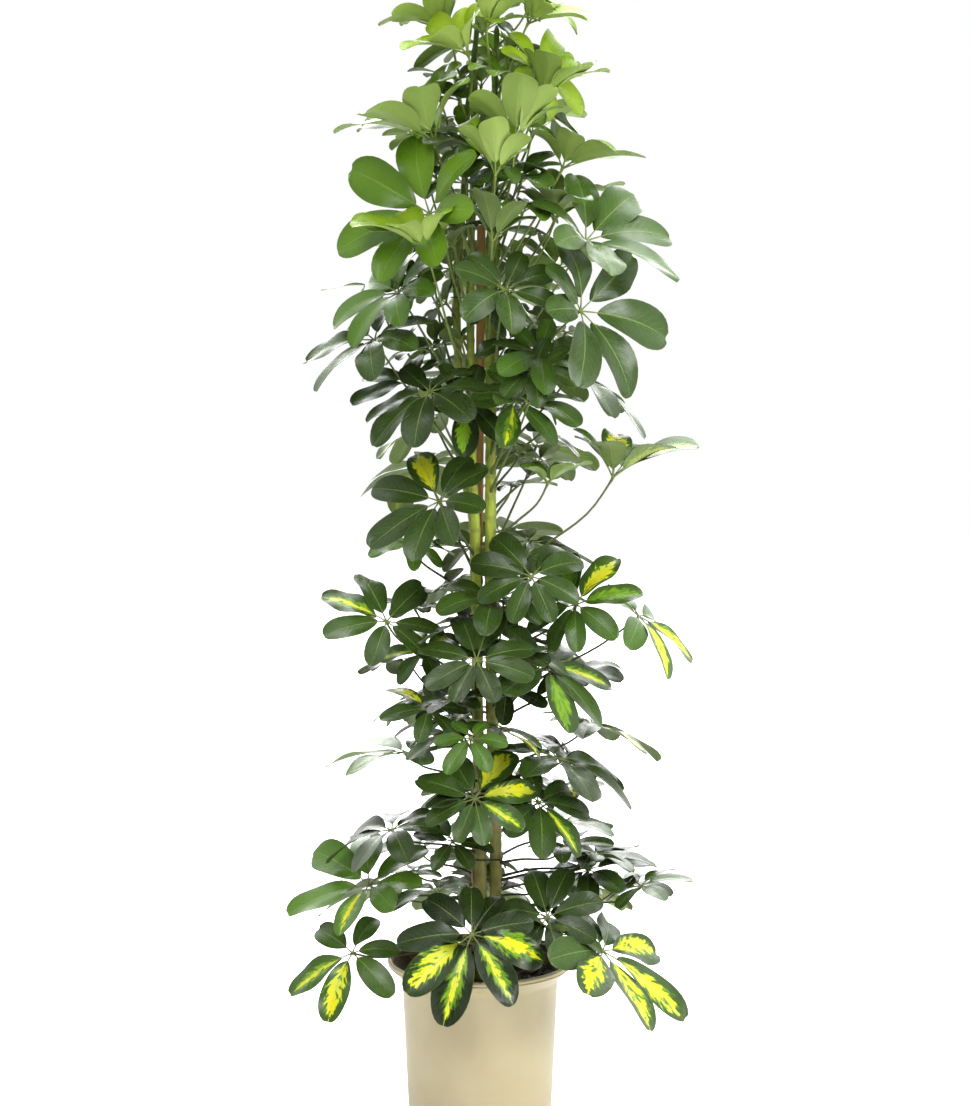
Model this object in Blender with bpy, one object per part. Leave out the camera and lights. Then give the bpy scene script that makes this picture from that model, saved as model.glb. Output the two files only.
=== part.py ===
"""Potted umbrella plant: four leafy stems tied to a cane, in a flared pot filled with soil.

Metres, +Z up. The origin is the middle of the pot's underside. Directions round the plant are
azimuths in degrees: 0 is the front (-Y), 90 is the right (+X), -90 the left and 180 the back.
"""
import math
import random
from typing import NamedTuple

import bpy
from mathutils import Matrix, Vector
from mathutils.bvhtree import BVHTree

# Pot
POT_HEIGHT = 0.220
RIM_RADIUS = 0.120
LIP_THICKNESS = 0.006
SHOULDER_FOOT = 0.196
WALL_TOP_RADIUS = 0.101
BASE_RADIUS = 0.092
BASE_EDGE = 0.003
WALL = 0.004
FLOOR = 0.005
POT_STEPS = 40
DRAIN_RADIUS = 0.005
DRAIN_RING = 0.045
DRAINS = 4
DRAIN_SIDES = 8
DRAIN_AZIMUTH = 41

# Soil
SOIL_TOP = 0.196
SOIL_LUMP = 0.0035
SOIL_SIDES = 20
SOIL_RINGS = (0.30, 0.62, 0.92)
GAP = 0.0003
HOLE_PLAY = 0.0006

# Cane and ties
CANE_FOOT = Vector((-0.008, 0.003, 0.040))
CANE_TOP = Vector((0.002, 0.003, 1.160))
CANE_RADIUS = 0.0055
CANE_NODE_SPACING = 0.24
CANE_NODE_START = -0.05
CANE_NODE_RISE = 0.0009
CANE_NODE_HALF = 0.004
TIE_HEIGHTS = (0.353, 0.684, 1.070)
TIE_WIRE = 0.0009
TIE_POINTS = 14
TIE_SLACK = 0.0006

# Stems
PLANT_X = 0.008
STEM_FOOT = 0.110
STEM_SIDES = 8
STEM_RING_SPACING = 0.120
STEM_BASE_RADIUS = 0.008
STEM_TIP_RADIUS = 0.0032
STEM_FULL_HEIGHT = 1.45

# Leaves
PETIOLE_RADIUS = (0.0019, 0.0015, 0.0013, 0.0014)
HUB_RADIUS = 0.0030
HUB_HALF = 0.0013
LEAFLET_WIDTH = 0.43
SHORTEST_LEAFLET = 0.70
STATIONS = (0.24, 0.66, 1.0)
WIDTHS = (0.10, 1.0, 0.46)
THICKNESS = (0.0018, 0.0016)
FOLD = 0.20
LIFT = 0.16
BEND = 0.20
ARCH = 0.30
SAG = 0.06
CLEARANCE = 0.0006
POT_CLEARANCE = 0.002
EDGE_CHECKS = 6
LOWEST_ROOT = 0.228
ROOT_BELOW_TIP = 0.006
RISE_LEAST = 0.14
RISE_GAIN = 1.35
RISE_LOSS = 0.25
LEAVE_OUT = 0.28
LEAVE_CLIMB = 0.08
LEAVE_CLIMB_GAIN = 0.26
ARRIVE_BELOW = 0.24
LEAF_DROOP = (-0.06, 0.16)
LEAFLET_DROOP = 0.10
LEAFLET_TURN = 9
LEAFLET_TWIST = 22
LEAFLET_REACH = (0.92, 1.04)


class Leaf(NamedTuple):
    """One umbrella leaf: where its hub is, which way its upper side faces, and its leaflets.

    height is the hub's height, azimuth and out its direction and distance from the plant's
    middle line. face is the azimuth to which the leaf's plane leans, and tilt how far it slopes
    down that way, or up if negative. reach is the length of the longest leaflet with its stalk,
    which points to face, or spin degrees further round. cup is how steeply the leaflets rise out
    of the leaf's plane, as a slope.
    """

    height: float
    azimuth: float
    out: float
    face: float
    tilt: float
    reach: float
    leaflets: int
    cup: float = 0.0
    spin: float = 0.0


class Stem(NamedTuple):
    """A stem as (height, x, y) points from the soil up, and the leaves that grow from it."""

    route: tuple
    leaves: tuple


FRONT_LEFT = Stem(
    route=(
        (0.11, -0.003, -0.016), (0.35, 0.001, -0.014), (0.60, -0.004, -0.013),
        (0.76, -0.005, -0.013), (0.88, -0.010, -0.014), (1.07, -0.012, -0.013),
        (1.25, -0.008, -0.012), (1.34, -0.006, -0.010),
    ),
    leaves=(
        Leaf(1.365, -24, 0.055, -60, 38, 0.096, 7, 1.4),
        Leaf(1.258, -42, 0.095, -86, 26, 0.138, 7, 1.2),
        Leaf(1.171, -41, 0.105, -38, 68, 0.134, 7, 0.45, -120),
        Leaf(1.124, -31, 0.140, -60, 22, 0.104, 7, 1.4),
        Leaf(1.075, -61, 0.124, -45, 45, 0.096, 7, 0.3, -60),
        Leaf(1.017, -67, 0.150, -50, 36, 0.110, 7, 0.25, -60),
        Leaf(0.955, -39, 0.110, -35, 34, 0.100, 8),
        Leaf(0.818, -40, 0.090, -30, 52, 0.104, 8, 0.2, -70),
        Leaf(0.665, -68, 0.135, -160, -38, 0.100, 7),
        Leaf(0.625, -6, 0.115, 180, -46, 0.092, 8),
        Leaf(0.620, -86, 0.080, 170, -30, 0.074, 6),
        Leaf(0.555, -50, 0.095, -150, -35, 0.076, 6),
        Leaf(0.530, -9, 0.125, 0, 40, 0.056, 6),
        Leaf(0.490, -84, 0.100, -90, 6, 0.112, 7, 0.1),
        Leaf(0.450, -8, 0.105, 175, -50, 0.090, 8),
        Leaf(0.395, -74, 0.125, -60, 22, 0.096, 7, 0.1, -30),
        Leaf(0.380, -51, 0.055, 180, -35, 0.066, 6),
        Leaf(0.322, -79, 0.152, -30, 32, 0.118, 7, 0.2, -105),
        Leaf(0.284, -8, 0.128, -5, 50, 0.112, 9, 0.0, -10),
        Leaf(0.246, -66, 0.185, -25, 45, 0.092, 6, 0.0, -30),
    ),
)

FRONT_RIGHT = Stem(
    route=(
        (0.11, 0.022, -0.013), (0.35, 0.020, -0.012), (0.60, 0.0135, -0.012),
        (0.76, 0.012, -0.012), (0.88, 0.0125, -0.011), (1.07, 0.011, -0.010),
        (1.25, 0.016, -0.008), (1.40, 0.021, -0.004),
    ),
    leaves=(
        Leaf(1.405, 62, 0.058, 60, 36, 0.086, 7, 1.2),
        Leaf(1.395, 0, 0.050, -20, 0, 0.086, 6, 1.1),
        Leaf(1.350, 60, 0.070, 40, 62, 0.088, 7, 0.3, 90),
        Leaf(1.312, 48, 0.090, 70, 24, 0.096, 6, 1.6),
        Leaf(1.255, 19, 0.106, 0, -12, 0.100, 7, 1.4),
        Leaf(1.215, 5, 0.124, -35, -10, 0.084, 6, 1.6),
        Leaf(1.227, 60, 0.108, 85, 24, 0.106, 7, 0.9),
        Leaf(1.136, 4, 0.110, -60, -10, 0.094, 6, 1.4),
        Leaf(1.138, 57, 0.145, 42, 44, 0.132, 7, 0.5, 75),
        Leaf(1.163, 62, 0.095, 45, 10, 0.092, 7, 1.1),
        Leaf(1.078, 11, 0.120, 15, 45, 0.092, 7, 0.35),
        Leaf(1.053, 49, 0.152, 45, 74, 0.134, 7, 0.4, 70),
        Leaf(1.000, 34, 0.115, 10, 40, 0.082, 7, 0.3),
        Leaf(0.945, 27, 0.075, 35, 58, 0.078, 6),
        Leaf(0.846, 72, 0.166, 88, 14, 0.118, 7, 1.1),
        Leaf(0.840, 52, 0.097, 60, 5, 0.064, 6, 0.8),
        Leaf(0.725, 36, 0.095, 180, -55, 0.088, 8),
        Leaf(0.685, 71, 0.120, 150, -50, 0.096, 8),
        Leaf(0.610, 52, 0.095, 40, 42, 0.108, 8),
        Leaf(0.530, 16, 0.060, 90, 20, 0.074, 6),
        Leaf(0.490, 63, 0.100, 80, 20, 0.120, 7),
        Leaf(0.435, 51, 0.085, 40, 40, 0.088, 8),
        Leaf(0.320, 83, 0.200, 110, -20, 0.074, 6),
        Leaf(0.295, 42, 0.115, 170, -50, 0.084, 8),
        Leaf(0.250, 61, 0.168, 60, 38, 0.132, 8),
    ),
)

BACK_RIGHT = Stem(
    route=(
        (0.11, 0.024, 0.017), (0.35, 0.021, 0.016), (0.60, 0.015, 0.015),
        (0.88, 0.015, 0.014), (1.07, 0.018, 0.013), (1.25, 0.020, 0.012),
        (1.32, 0.018, 0.012),
    ),
    leaves=(
        Leaf(1.340, 164, 0.065, 165, 18, 0.090, 7, 1.2),
        Leaf(1.280, 150, 0.118, 150, 18, 0.096, 7, 1.1),
        Leaf(1.299, 92, 0.078, 100, 45, 0.078, 7, 0.1),
        Leaf(1.185, 99, 0.095, 110, 18, 0.096, 7, 1.0),
        Leaf(1.105, 131, 0.120, 125, 20, 0.096, 7, 0.7),
        Leaf(1.080, 171, 0.130, 175, 24, 0.095, 7),
        Leaf(1.025, 130, 0.135, 125, 24, 0.096, 7),
        Leaf(0.975, 98, 0.110, 92, 30, 0.122, 7),
        Leaf(0.875, 153, 0.145, 155, 26, 0.100, 7),
        Leaf(0.760, 172, 0.140, 175, 26, 0.102, 7),
        Leaf(0.665, 90, 0.195, 70, 40, 0.100, 6),
        Leaf(0.600, 148, 0.150, 150, 26, 0.104, 7),
        Leaf(0.520, 105, 0.140, 100, 18, 0.104, 7),
        Leaf(0.330, 99, 0.135, 140, -20, 0.098, 7),
        Leaf(0.285, 137, 0.165, 130, 28, 0.104, 7),
    ),
)

BACK_LEFT = Stem(
    route=(
        (0.11, -0.005, 0.019), (0.35, 0.000, 0.018), (0.60, -0.003, 0.016),
        (0.76, -0.007, 0.014), (0.90, -0.026, 0.011), (1.07, -0.029, 0.009),
        (1.25, -0.018, 0.008), (1.44, -0.002, 0.004),
    ),
    leaves=(
        Leaf(1.450, 60, 0.006, 170, 8, 0.064, 7, 1.2),
        Leaf(1.400, -98, 0.048, -92, 30, 0.090, 7, 1.3),
        Leaf(1.314, -75, 0.060, -60, 40, 0.084, 6, 0.9),
        Leaf(1.240, -158, 0.122, -155, 18, 0.100, 7, 1.1),
        Leaf(1.120, -146, 0.130, -140, 20, 0.104, 7, 0.7),
        Leaf(1.085, -96, 0.140, -95, 2, 0.072, 6),
        Leaf(0.975, -173, 0.140, 180, 26, 0.100, 7),
        Leaf(0.915, -103, 0.070, -100, 30, 0.092, 6),
        Leaf(0.850, -146, 0.145, -145, 26, 0.104, 7),
        Leaf(0.755, -99, 0.095, -150, -20, 0.072, 6),
        Leaf(0.700, -135, 0.070, -120, 24, 0.078, 6),
        Leaf(0.540, -156, 0.145, -150, 26, 0.104, 7),
        Leaf(0.405, -176, 0.150, 180, 24, 0.104, 7),
        Leaf(0.325, -108, 0.100, -90, 10, 0.066, 6),
        Leaf(0.290, -128, 0.170, -135, 28, 0.104, 7),
        Leaf(0.270, -171, 0.160, 180, 26, 0.108, 7),
    ),
)

STEMS = (FRONT_LEFT, FRONT_RIGHT, BACK_RIGHT, BACK_LEFT)

# How a petiole's root may be moved up or down the stem, and how a leaflet may be turned in the
# leaf's plane (degrees), drooped (share of its length) and shortened, until it clears the rest.
ROOT_MOVES = (0.0, -0.012, 0.012, -0.024, 0.024, -0.036)
BENDS = (
    (0, 0.0, 1.0), (9, 0.0, 1.0), (-9, 0.0, 1.0), (0, 0.16, 1.0), (0, -0.16, 1.0),
    (10, 0.14, 0.95), (-10, 0.14, 0.95), (10, -0.14, 0.95), (-10, -0.14, 0.95),
    (0, 0.32, 0.95), (0, -0.32, 0.95), (16, 0.10, 0.85), (-16, 0.10, 0.85),
    (0, 0.45, 0.85), (0, -0.45, 0.85), (12, 0.38, 0.80), (-12, 0.38, 0.80),
    (12, -0.38, 0.80), (-12, -0.38, 0.80), (0, 0.2, 0.65), (0, -0.2, 0.65), (0, 0.0, 0.55),
)


def clear_scene():
    """Removes every object of the scene that the script starts from."""
    for obj in list(bpy.data.objects):
        bpy.data.objects.remove(obj, do_unlink=True)


def material(name, colour, roughness):
    """A plain material in the part's own colour."""
    made = bpy.data.materials.new(name)
    made.use_nodes = True
    shader = made.node_tree.nodes["Principled BSDF"]
    shader.inputs["Base Color"].default_value = (*colour, 1.0)
    shader.inputs["Roughness"].default_value = roughness
    return made


def mesh_object(name, points, faces, finish):
    """An object in the scene from points and faces, shaded smooth up to its creases."""
    mesh = bpy.data.meshes.new(name)
    mesh.from_pydata(points, [], faces)
    mesh.materials.append(finish)
    mesh.shade_smooth()
    mesh.set_sharp_from_angle(angle=math.radians(35))
    obj = bpy.data.objects.new(name, mesh)
    bpy.context.scene.collection.objects.link(obj)
    return obj


def cutter(name, points, faces):
    """A helper that only cuts others, left out of the part."""
    obj = mesh_object(name, points, faces, None)
    obj.hide_render = True
    obj.display_type = "WIRE"
    return obj


def cut(obj, tool):
    """Takes the tool's shape out of the object."""
    boolean = obj.modifiers.new(tool.name, "BOOLEAN")
    boolean.operation = "DIFFERENCE"
    boolean.object = tool


def heading(azimuth):
    """The level direction of an azimuth."""
    turn = math.radians(azimuth)
    return Vector((math.sin(turn), -math.cos(turn), 0.0))


def ring(centre, side, other, radius, count):
    """Points in a circle round the centre, in the plane of two directions."""
    turns = [2 * math.pi * k / count for k in range(count)]
    return [centre + radius * (math.cos(t) * side + math.sin(t) * other) for t in turns]


def tube(path, radii, sides):
    """A closed tube along a path, as points and triangles that face out."""
    points = []
    side = None
    for k, centre in enumerate(path):
        ahead = (path[min(k + 1, len(path) - 1)] - path[max(k - 1, 0)]).normalized()
        if side is None:
            side = ahead.orthogonal()
        side = (side - ahead * side.dot(ahead)).normalized()
        points += ring(centre, side, ahead.cross(side), radii[k], sides)
    faces = []
    for k in range(len(path) - 1):
        faces += wrap(range(k * sides, (k + 1) * sides), range((k + 1) * sides, (k + 2) * sides))
    last = len(points) - sides
    faces += [(0, k + 1, k) for k in range(1, sides - 1)]
    faces += [(last, last + k, last + k + 1) for k in range(1, sides - 1)]
    return points, faces


def wrap(lower, upper):
    """Triangles between two rings of the same count."""
    faces = []
    for k, low in enumerate(lower):
        after = (k + 1) % len(lower)
        faces += [(low, lower[after], upper[after]), (low, upper[after], upper[k])]
    return faces


def pot_radius(height):
    """The outer radius of the pot at a height."""
    if height > POT_HEIGHT - LIP_THICKNESS:
        return RIM_RADIUS
    if height > SHOULDER_FOOT:
        rise = (height - SHOULDER_FOOT) / (POT_HEIGHT - LIP_THICKNESS - SHOULDER_FOOT)
        return WALL_TOP_RADIUS + rise * (RIM_RADIUS - WALL_TOP_RADIUS)
    return BASE_RADIUS + (WALL_TOP_RADIUS - BASE_RADIUS) * height / SHOULDER_FOOT


def pot_profile():
    """Radius and height of the pot's section: up the inside, over the lip and down the outside."""
    lip_foot = POT_HEIGHT - LIP_THICKNESS
    half = LIP_THICKNESS / 2
    return [
        (0.0, FLOOR),
        (pot_radius(FLOOR) - WALL, FLOOR),
        (WALL_TOP_RADIUS - WALL, SHOULDER_FOOT + WALL / 2),
        (RIM_RADIUS - LIP_THICKNESS, lip_foot + WALL / 2),
        (RIM_RADIUS - half - half * 0.7, POT_HEIGHT - half * 0.3),
        (RIM_RADIUS - half, POT_HEIGHT),
        (RIM_RADIUS - half * 0.3, POT_HEIGHT - half * 0.3),
        (RIM_RADIUS, POT_HEIGHT - half),
        (RIM_RADIUS - half * 0.3, lip_foot + half * 0.3),
        (RIM_RADIUS - half, lip_foot),
        (WALL_TOP_RADIUS, SHOULDER_FOOT),
        (pot_radius(BASE_EDGE), BASE_EDGE),
        (BASE_RADIUS - BASE_EDGE, 0.0),
        (0.0, 0.0),
    ]


def make_pot():
    """The flared pot with its rolled lip, and drain holes through the floor."""
    profile = [(radius, 0.0, height) for radius, height in pot_profile()]
    mesh = bpy.data.meshes.new("pot")
    mesh.from_pydata(profile, [(k, k + 1) for k in range(len(profile) - 1)], [])
    mesh.materials.append(material("cream_pot", (0.72, 0.64, 0.42), 0.4))
    pot = bpy.data.objects.new("pot", mesh)
    bpy.context.scene.collection.objects.link(pot)
    screw = pot.modifiers.new("turned", "SCREW")
    screw.steps = POT_STEPS
    screw.render_steps = POT_STEPS
    screw.use_merge_vertices = True
    screw.merge_threshold = 0.0001
    screw.use_smooth_shade = True
    for k in range(DRAINS):
        middle = DRAIN_RING * heading(DRAIN_AZIMUTH + 360 * k / DRAINS)
        path = [middle - Vector((0, 0, FLOOR)), middle + Vector((0, 0, 2 * FLOOR))]
        cut(pot, cutter(f"drain_{k + 1}", *tube(path, [DRAIN_RADIUS] * 2, DRAIN_SIDES)))
    return pot


def stem_point(stem, height):
    """The middle of a stem at a height, on a smooth way through its route."""
    route = stem.route
    height = min(max(height, route[0][0]), route[-1][0])
    k = next(i for i in range(len(route) - 1) if height <= route[i + 1][0])
    low, high = route[k], route[k + 1]
    share = (height - low[0]) / (high[0] - low[0])
    share = share * share * (3 - 2 * share)
    return Vector((
        low[1] + share * (high[1] - low[1]), low[2] + share * (high[2] - low[2]), height
    ))


def stem_radius(height):
    """A stem's radius, which narrows with height."""
    share = min(max((height - SOIL_TOP) / (STEM_FULL_HEIGHT - SOIL_TOP), 0), 1)
    return STEM_BASE_RADIUS + share * (STEM_TIP_RADIUS - STEM_BASE_RADIUS)


def stem_tube(stem, extra=0.0):
    """The bare stem as a tube, wider by extra."""
    foot, tip = stem.route[0][0], stem.route[-1][0]
    count = round((tip - foot) / STEM_RING_SPACING)
    heights = sorted([*(foot + (tip - foot) * k / count for k in range(count + 1)), *TIE_HEIGHTS])
    radii = [stem_radius(z) + extra for z in heights]
    return tube([stem_point(stem, z) for z in heights], radii, STEM_SIDES)


def cane_tube(extra=0.0):
    """The cane, with the raised rings of its nodes."""
    length = (CANE_TOP - CANE_FOOT).length
    along = (CANE_TOP - CANE_FOOT) / length
    places = [(0.0, 0.0)]
    for k in range(1, int(length / CANE_NODE_SPACING) + 1):
        middle = CANE_NODE_START + k * CANE_NODE_SPACING
        places += [(middle - CANE_NODE_HALF, 0.0), (middle, CANE_NODE_RISE)]
        places += [(middle + CANE_NODE_HALF, 0.0)]
    places.append((length, 0.0))
    path = [CANE_FOOT + far * along for far, _ in places]
    return tube(path, [CANE_RADIUS + rise + extra for _, rise in places], STEM_SIDES)


def tie_loop(height):
    """The way of a tie's wire round the stems and the cane, taut between them."""
    cane_share = (height - CANE_FOOT.z) / (CANE_TOP.z - CANE_FOOT.z)
    rounds = [(stem_point(stem, height), stem_radius(height)) for stem in STEMS]
    rounds.append((CANE_FOOT.lerp(CANE_TOP, cane_share), CANE_RADIUS))
    loop = []
    for k in range(TIE_POINTS):
        way = heading(360 * k / TIE_POINTS)
        middle, radius = max(rounds, key=lambda one: one[0].dot(way) + one[1])
        loop.append(middle + way * (radius + TIE_WIRE + TIE_SLACK))
    return loop


def tie_ring(height):
    """The tie's wire as a closed ring of four sides."""
    loop = tie_loop(height)
    points = []
    for k, middle in enumerate(loop):
        ahead = (loop[(k + 1) % TIE_POINTS] - loop[k - 1]).normalized()
        outward = ahead.cross(Vector((0, 0, 1)))
        points += ring(middle, outward, Vector((0, 0, 1)), TIE_WIRE, 4)
    faces = []
    for k in range(TIE_POINTS):
        after = (k + 1) % TIE_POINTS
        faces += wrap(range(4 * k + 3, 4 * k - 1, -1), range(4 * after + 3, 4 * after - 1, -1))
    return points, faces


def make_soil():
    """The soil that fills the pot, lumpy on top, with a plain hole for each stem and the cane."""
    lumps = random.Random(5)
    side, other = Vector((1, 0, 0)), Vector((0, 1, 0))
    inner = pot_radius(FLOOR) - WALL - GAP
    brim = pot_radius(SOIL_TOP) - WALL - GAP
    points = [Vector((0, 0, SOIL_TOP))]
    for share in SOIL_RINGS:
        level = ring(Vector((0, 0, SOIL_TOP)), side, other, brim * share, SOIL_SIDES)
        points += [p + Vector((0, 0, lumps.uniform(-SOIL_LUMP, SOIL_LUMP))) for p in level]
    edge = SOIL_TOP - SOIL_LUMP
    floor = FLOOR + GAP
    points += ring(Vector((0, 0, edge)), side, other, pot_radius(edge) - WALL - GAP, SOIL_SIDES)
    points += ring(Vector((0, 0, floor)), side, other, inner, SOIL_SIDES)
    points.append(Vector((0, 0, floor)))
    loops = [range(1 + k * SOIL_SIDES, 1 + (k + 1) * SOIL_SIDES) for k in range(len(SOIL_RINGS) + 2)]
    faces = [(0, a, b) for a, b in zip(loops[0], [*loops[0][1:], loops[0][0]])]
    for upper, lower in zip(loops, loops[1:]):
        faces += wrap(lower, upper)
    last = len(points) - 1
    faces += [(last, b, a) for a, b in zip(loops[-1], [*loops[-1][1:], loops[-1][0]])]
    soil = mesh_object("soil", points, faces, material("potting_soil", (0.05, 0.03, 0.02), 0.95))
    for k, stem in enumerate(STEMS):
        cut(soil, cutter(f"hole_{k + 1}", *stem_tube(stem, HOLE_PLAY)))
    cut(soil, cutter("hole_cane", *cane_tube(HOLE_PLAY)))
    return soil


class Frame(NamedTuple):
    """A leaf's hub and its three directions: out of the upper side, downhill and across."""

    hub: Vector
    normal: Vector
    downhill: Vector
    across: Vector


def frame_of(leaf):
    """Where a leaf's hub is and how its plane lies."""
    hub = Vector((PLANT_X, 0, leaf.height)) + leaf.out * heading(leaf.azimuth)
    facing = heading(leaf.face)
    lean = math.radians(leaf.tilt)
    up = Vector((0, 0, 1))
    normal = facing * math.sin(lean) + up * math.cos(lean)
    downhill = facing * math.cos(lean) - up * math.sin(lean)
    return Frame(hub, normal, downhill, normal.cross(downhill))


def petiole_path(stem, leaf, move):
    """The petiole's middle line from inside the stem up to the hub, which it meets from below."""
    frame = frame_of(leaf)
    rise = leaf.out * max(RISE_LEAST, RISE_GAIN * leaf.height - RISE_LOSS)
    highest = stem.route[-1][0] - ROOT_BELOW_TIP
    root_height = min(max(leaf.height - rise, LOWEST_ROOT) + move, highest)
    root = stem_point(stem, root_height)
    span = (frame.hub - root).length
    climb = LEAVE_CLIMB + LEAVE_CLIMB_GAIN * leaf.height
    leave = root + span * (LEAVE_OUT * heading(leaf.azimuth) + Vector((0, 0, climb)))
    arrive = frame.hub - frame.normal * (ARRIVE_BELOW * span)
    end = frame.hub - frame.normal * HUB_HALF
    path = []
    for t in (0.0, 1 / 3, 2 / 3, 1.0):
        weights = ((1 - t) ** 3, 3 * t * (1 - t) ** 2, 3 * t * t * (1 - t), t ** 3)
        path.append(sum((w * p for w, p in zip(weights, (root, leave, arrive, end))), Vector()))
    return path


class Leaflet(NamedTuple):
    """One leaflet's own shape: its angle from downhill, length, lift, droop and twist."""

    angle: float
    length: float
    lift: float
    droop: float
    twist: float


def leaflets_of(stem_number, leaf_number, leaf):
    """The leaflets round a hub, longest downhill, each a little different."""
    draw = random.Random(100 * stem_number + leaf_number)
    leaf_droop = draw.uniform(*LEAF_DROOP)
    made = []
    for k in range(leaf.leaflets):
        angle = 360 * (k + 0.5) / leaf.leaflets - 180 + draw.uniform(-LEAFLET_TURN, LEAFLET_TURN)
        even = (1 + SHORTEST_LEAFLET + (1 - SHORTEST_LEAFLET) * math.cos(math.radians(angle))) / 2
        length = leaf.reach * even * draw.uniform(*LEAFLET_REACH)
        droop = leaf_droop + draw.uniform(-LEAFLET_DROOP, LEAFLET_DROOP)
        twist = draw.uniform(-LEAFLET_TWIST, LEAFLET_TWIST)
        made.append(Leaflet(angle + leaf.spin, length, LIFT + leaf.cup, droop, twist))
    return made


def bent(leaflet, bend):
    """The leaflet turned, drooped and shortened."""
    turn, droop, share = bend
    return leaflet._replace(
        angle=leaflet.angle + turn, droop=leaflet.droop + droop, length=leaflet.length * share
    )


def blade_spine(frame, leaflet, far):
    """The leaflet's middle at a share of its length, with its side and upward directions."""
    turn = math.radians(leaflet.angle)
    along = frame.downhill * math.cos(turn) + frame.across * math.sin(turn)
    bend = BEND + ARCH * (leaflet.lift - LIFT) + leaflet.droop
    start, halfway, end = (math.hypot(1, leaflet.lift - 2 * bend * part) for part in (0, 0.5, 1))
    arc = (start + 4 * halfway + end) / 6
    middle = (along * far + frame.normal * (leaflet.lift * far - bend * far * far)) / arc
    middle = frame.hub + leaflet.length * (middle - Vector((0, 0, SAG * far * far)))
    tangent = (along + frame.normal * (leaflet.lift - 2 * bend * far)) / arc
    tangent = (tangent - Vector((0, 0, 2 * SAG * far))).normalized()
    side = tangent.cross(frame.normal).normalized()
    side = Matrix.Rotation(math.radians(leaflet.twist * far), 3, tangent) @ side
    return middle, side, side.cross(tangent)


def sections(frame, leaflet, extra=0.0):
    """The cross-sections of the leaflet's solid, from neck to tip: right, top, left and bottom."""
    found = []
    for far, width in zip(STATIONS, WIDTHS):
        middle, side, up = blade_spine(frame, leaflet, far)
        half = leaflet.length * LEAFLET_WIDTH * width / 2 + extra
        edge = FOLD * half * up
        found.append((middle + side * half + edge, middle, middle - side * half + edge, up))
    solid = []
    for (right, middle, left, up), thick in zip(found, THICKNESS):
        lift = up * (thick / 2 + extra)
        solid.append((right, middle + lift, left, middle - lift))
    return solid + [(found[-1][0], found[-1][2])]


def blade_shell(frame, leaflet):
    """The leaflet outside its hub, a clearance larger all round, as points and triangles."""
    neck, wide, tip = sections(frame, leaflet, CLEARANCE)
    faces = wrap(range(4), range(4, 8)) + [(0, 1, 2), (0, 2, 3)]
    faces += [(4, 5, 8), (5, 9, 8), (5, 6, 9), (4, 8, 7), (7, 8, 9), (7, 9, 6)]
    return [*neck, *wide, *tip], faces


def over_pot(hub, points):
    """Whether no edge of the leaflet goes into the pot, or below its rim over the soil."""
    neck_right, _, neck_left, _, right, _, left, under, tip_right, tip_left = points
    edges = ((hub, neck_right), (neck_right, right), (right, tip_right), (neck_left, left),
             (left, tip_left), (neck_left, under), (under, tip_left))
    for first, second in edges:
        for step in range(EDGE_CHECKS + 1):
            spot = first.lerp(second, step / EDGE_CHECKS)
            in_reach = math.hypot(spot.x, spot.y) < pot_radius(spot.z) + POT_CLEARANCE
            if in_reach and spot.z < POT_HEIGHT + POT_CLEARANCE:
                return False
    return True


class Obstacle(NamedTuple):
    """A solid that others keep clear of: the stem and leaf that it belongs to, and its surface."""

    owner: int
    leaf: tuple
    is_stalk: bool
    centre: Vector
    reach: float
    tree: BVHTree


def obstacle(owner, points, faces, leaf=None, is_stalk=False):
    """An obstacle from a solid's points and faces."""
    centre = sum(points, Vector()) / len(points)
    reach = max((p - centre).length for p in points)
    return Obstacle(owner, leaf, is_stalk, centre, reach, BVHTree.FromPolygons(points, faces))


def crossed(shape, others):
    """The owners of those obstacles that the shape crosses. A leaf's own stalks meet at its hub."""
    owners = set()
    for other in others:
        if shape.leaf == other.leaf and (shape.is_stalk or other.is_stalk):
            continue
        near = (shape.centre - other.centre).length < shape.reach + other.reach
        if near and shape.tree.overlap(other.tree):
            owners.add(other.owner)
    return owners


def grown_leaves():
    """Every leaf with its petiole and the leaflets that clear what stands round them.

    Petioles come first. Then each leaflet takes the first bend that crosses nothing, or else
    the first that crosses only its own stem's leaves, into which it is fused.
    """
    placed = [obstacle(0, *cane_tube(CLEARANCE))]
    placed += [obstacle(0, *tie_ring(height)) for height in TIE_HEIGHTS]
    for number, stem in enumerate(STEMS, 1):
        placed.append(obstacle(number, *stem_tube(stem, CLEARANCE)))
    grown = []
    for number, stem in enumerate(STEMS, 1):
        for k, leaf in enumerate(stem.leaves):
            path, shape = fitted_petiole(number, stem, leaf, placed)
            placed.append(shape)
            grown.append((number, leaf, path, leaflets_of(number, k, leaf)))
    return [(number, leaf, path, fitted(number, leaf, blades, placed))
            for number, leaf, path, blades in grown]


def fitted_petiole(number, stem, leaf, placed):
    """The petiole from the first root that keeps it clear of the other stems and their petioles."""
    radii = [radius + CLEARANCE for radius in PETIOLE_RADIUS]
    for move in ROOT_MOVES:
        path = petiole_path(stem, leaf, move)
        shape = obstacle(number, *tube(path, radii, 3), leaf=leaf, is_stalk=True)
        if not crossed(shape, placed) - {number}:
            break
    return path, shape


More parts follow.
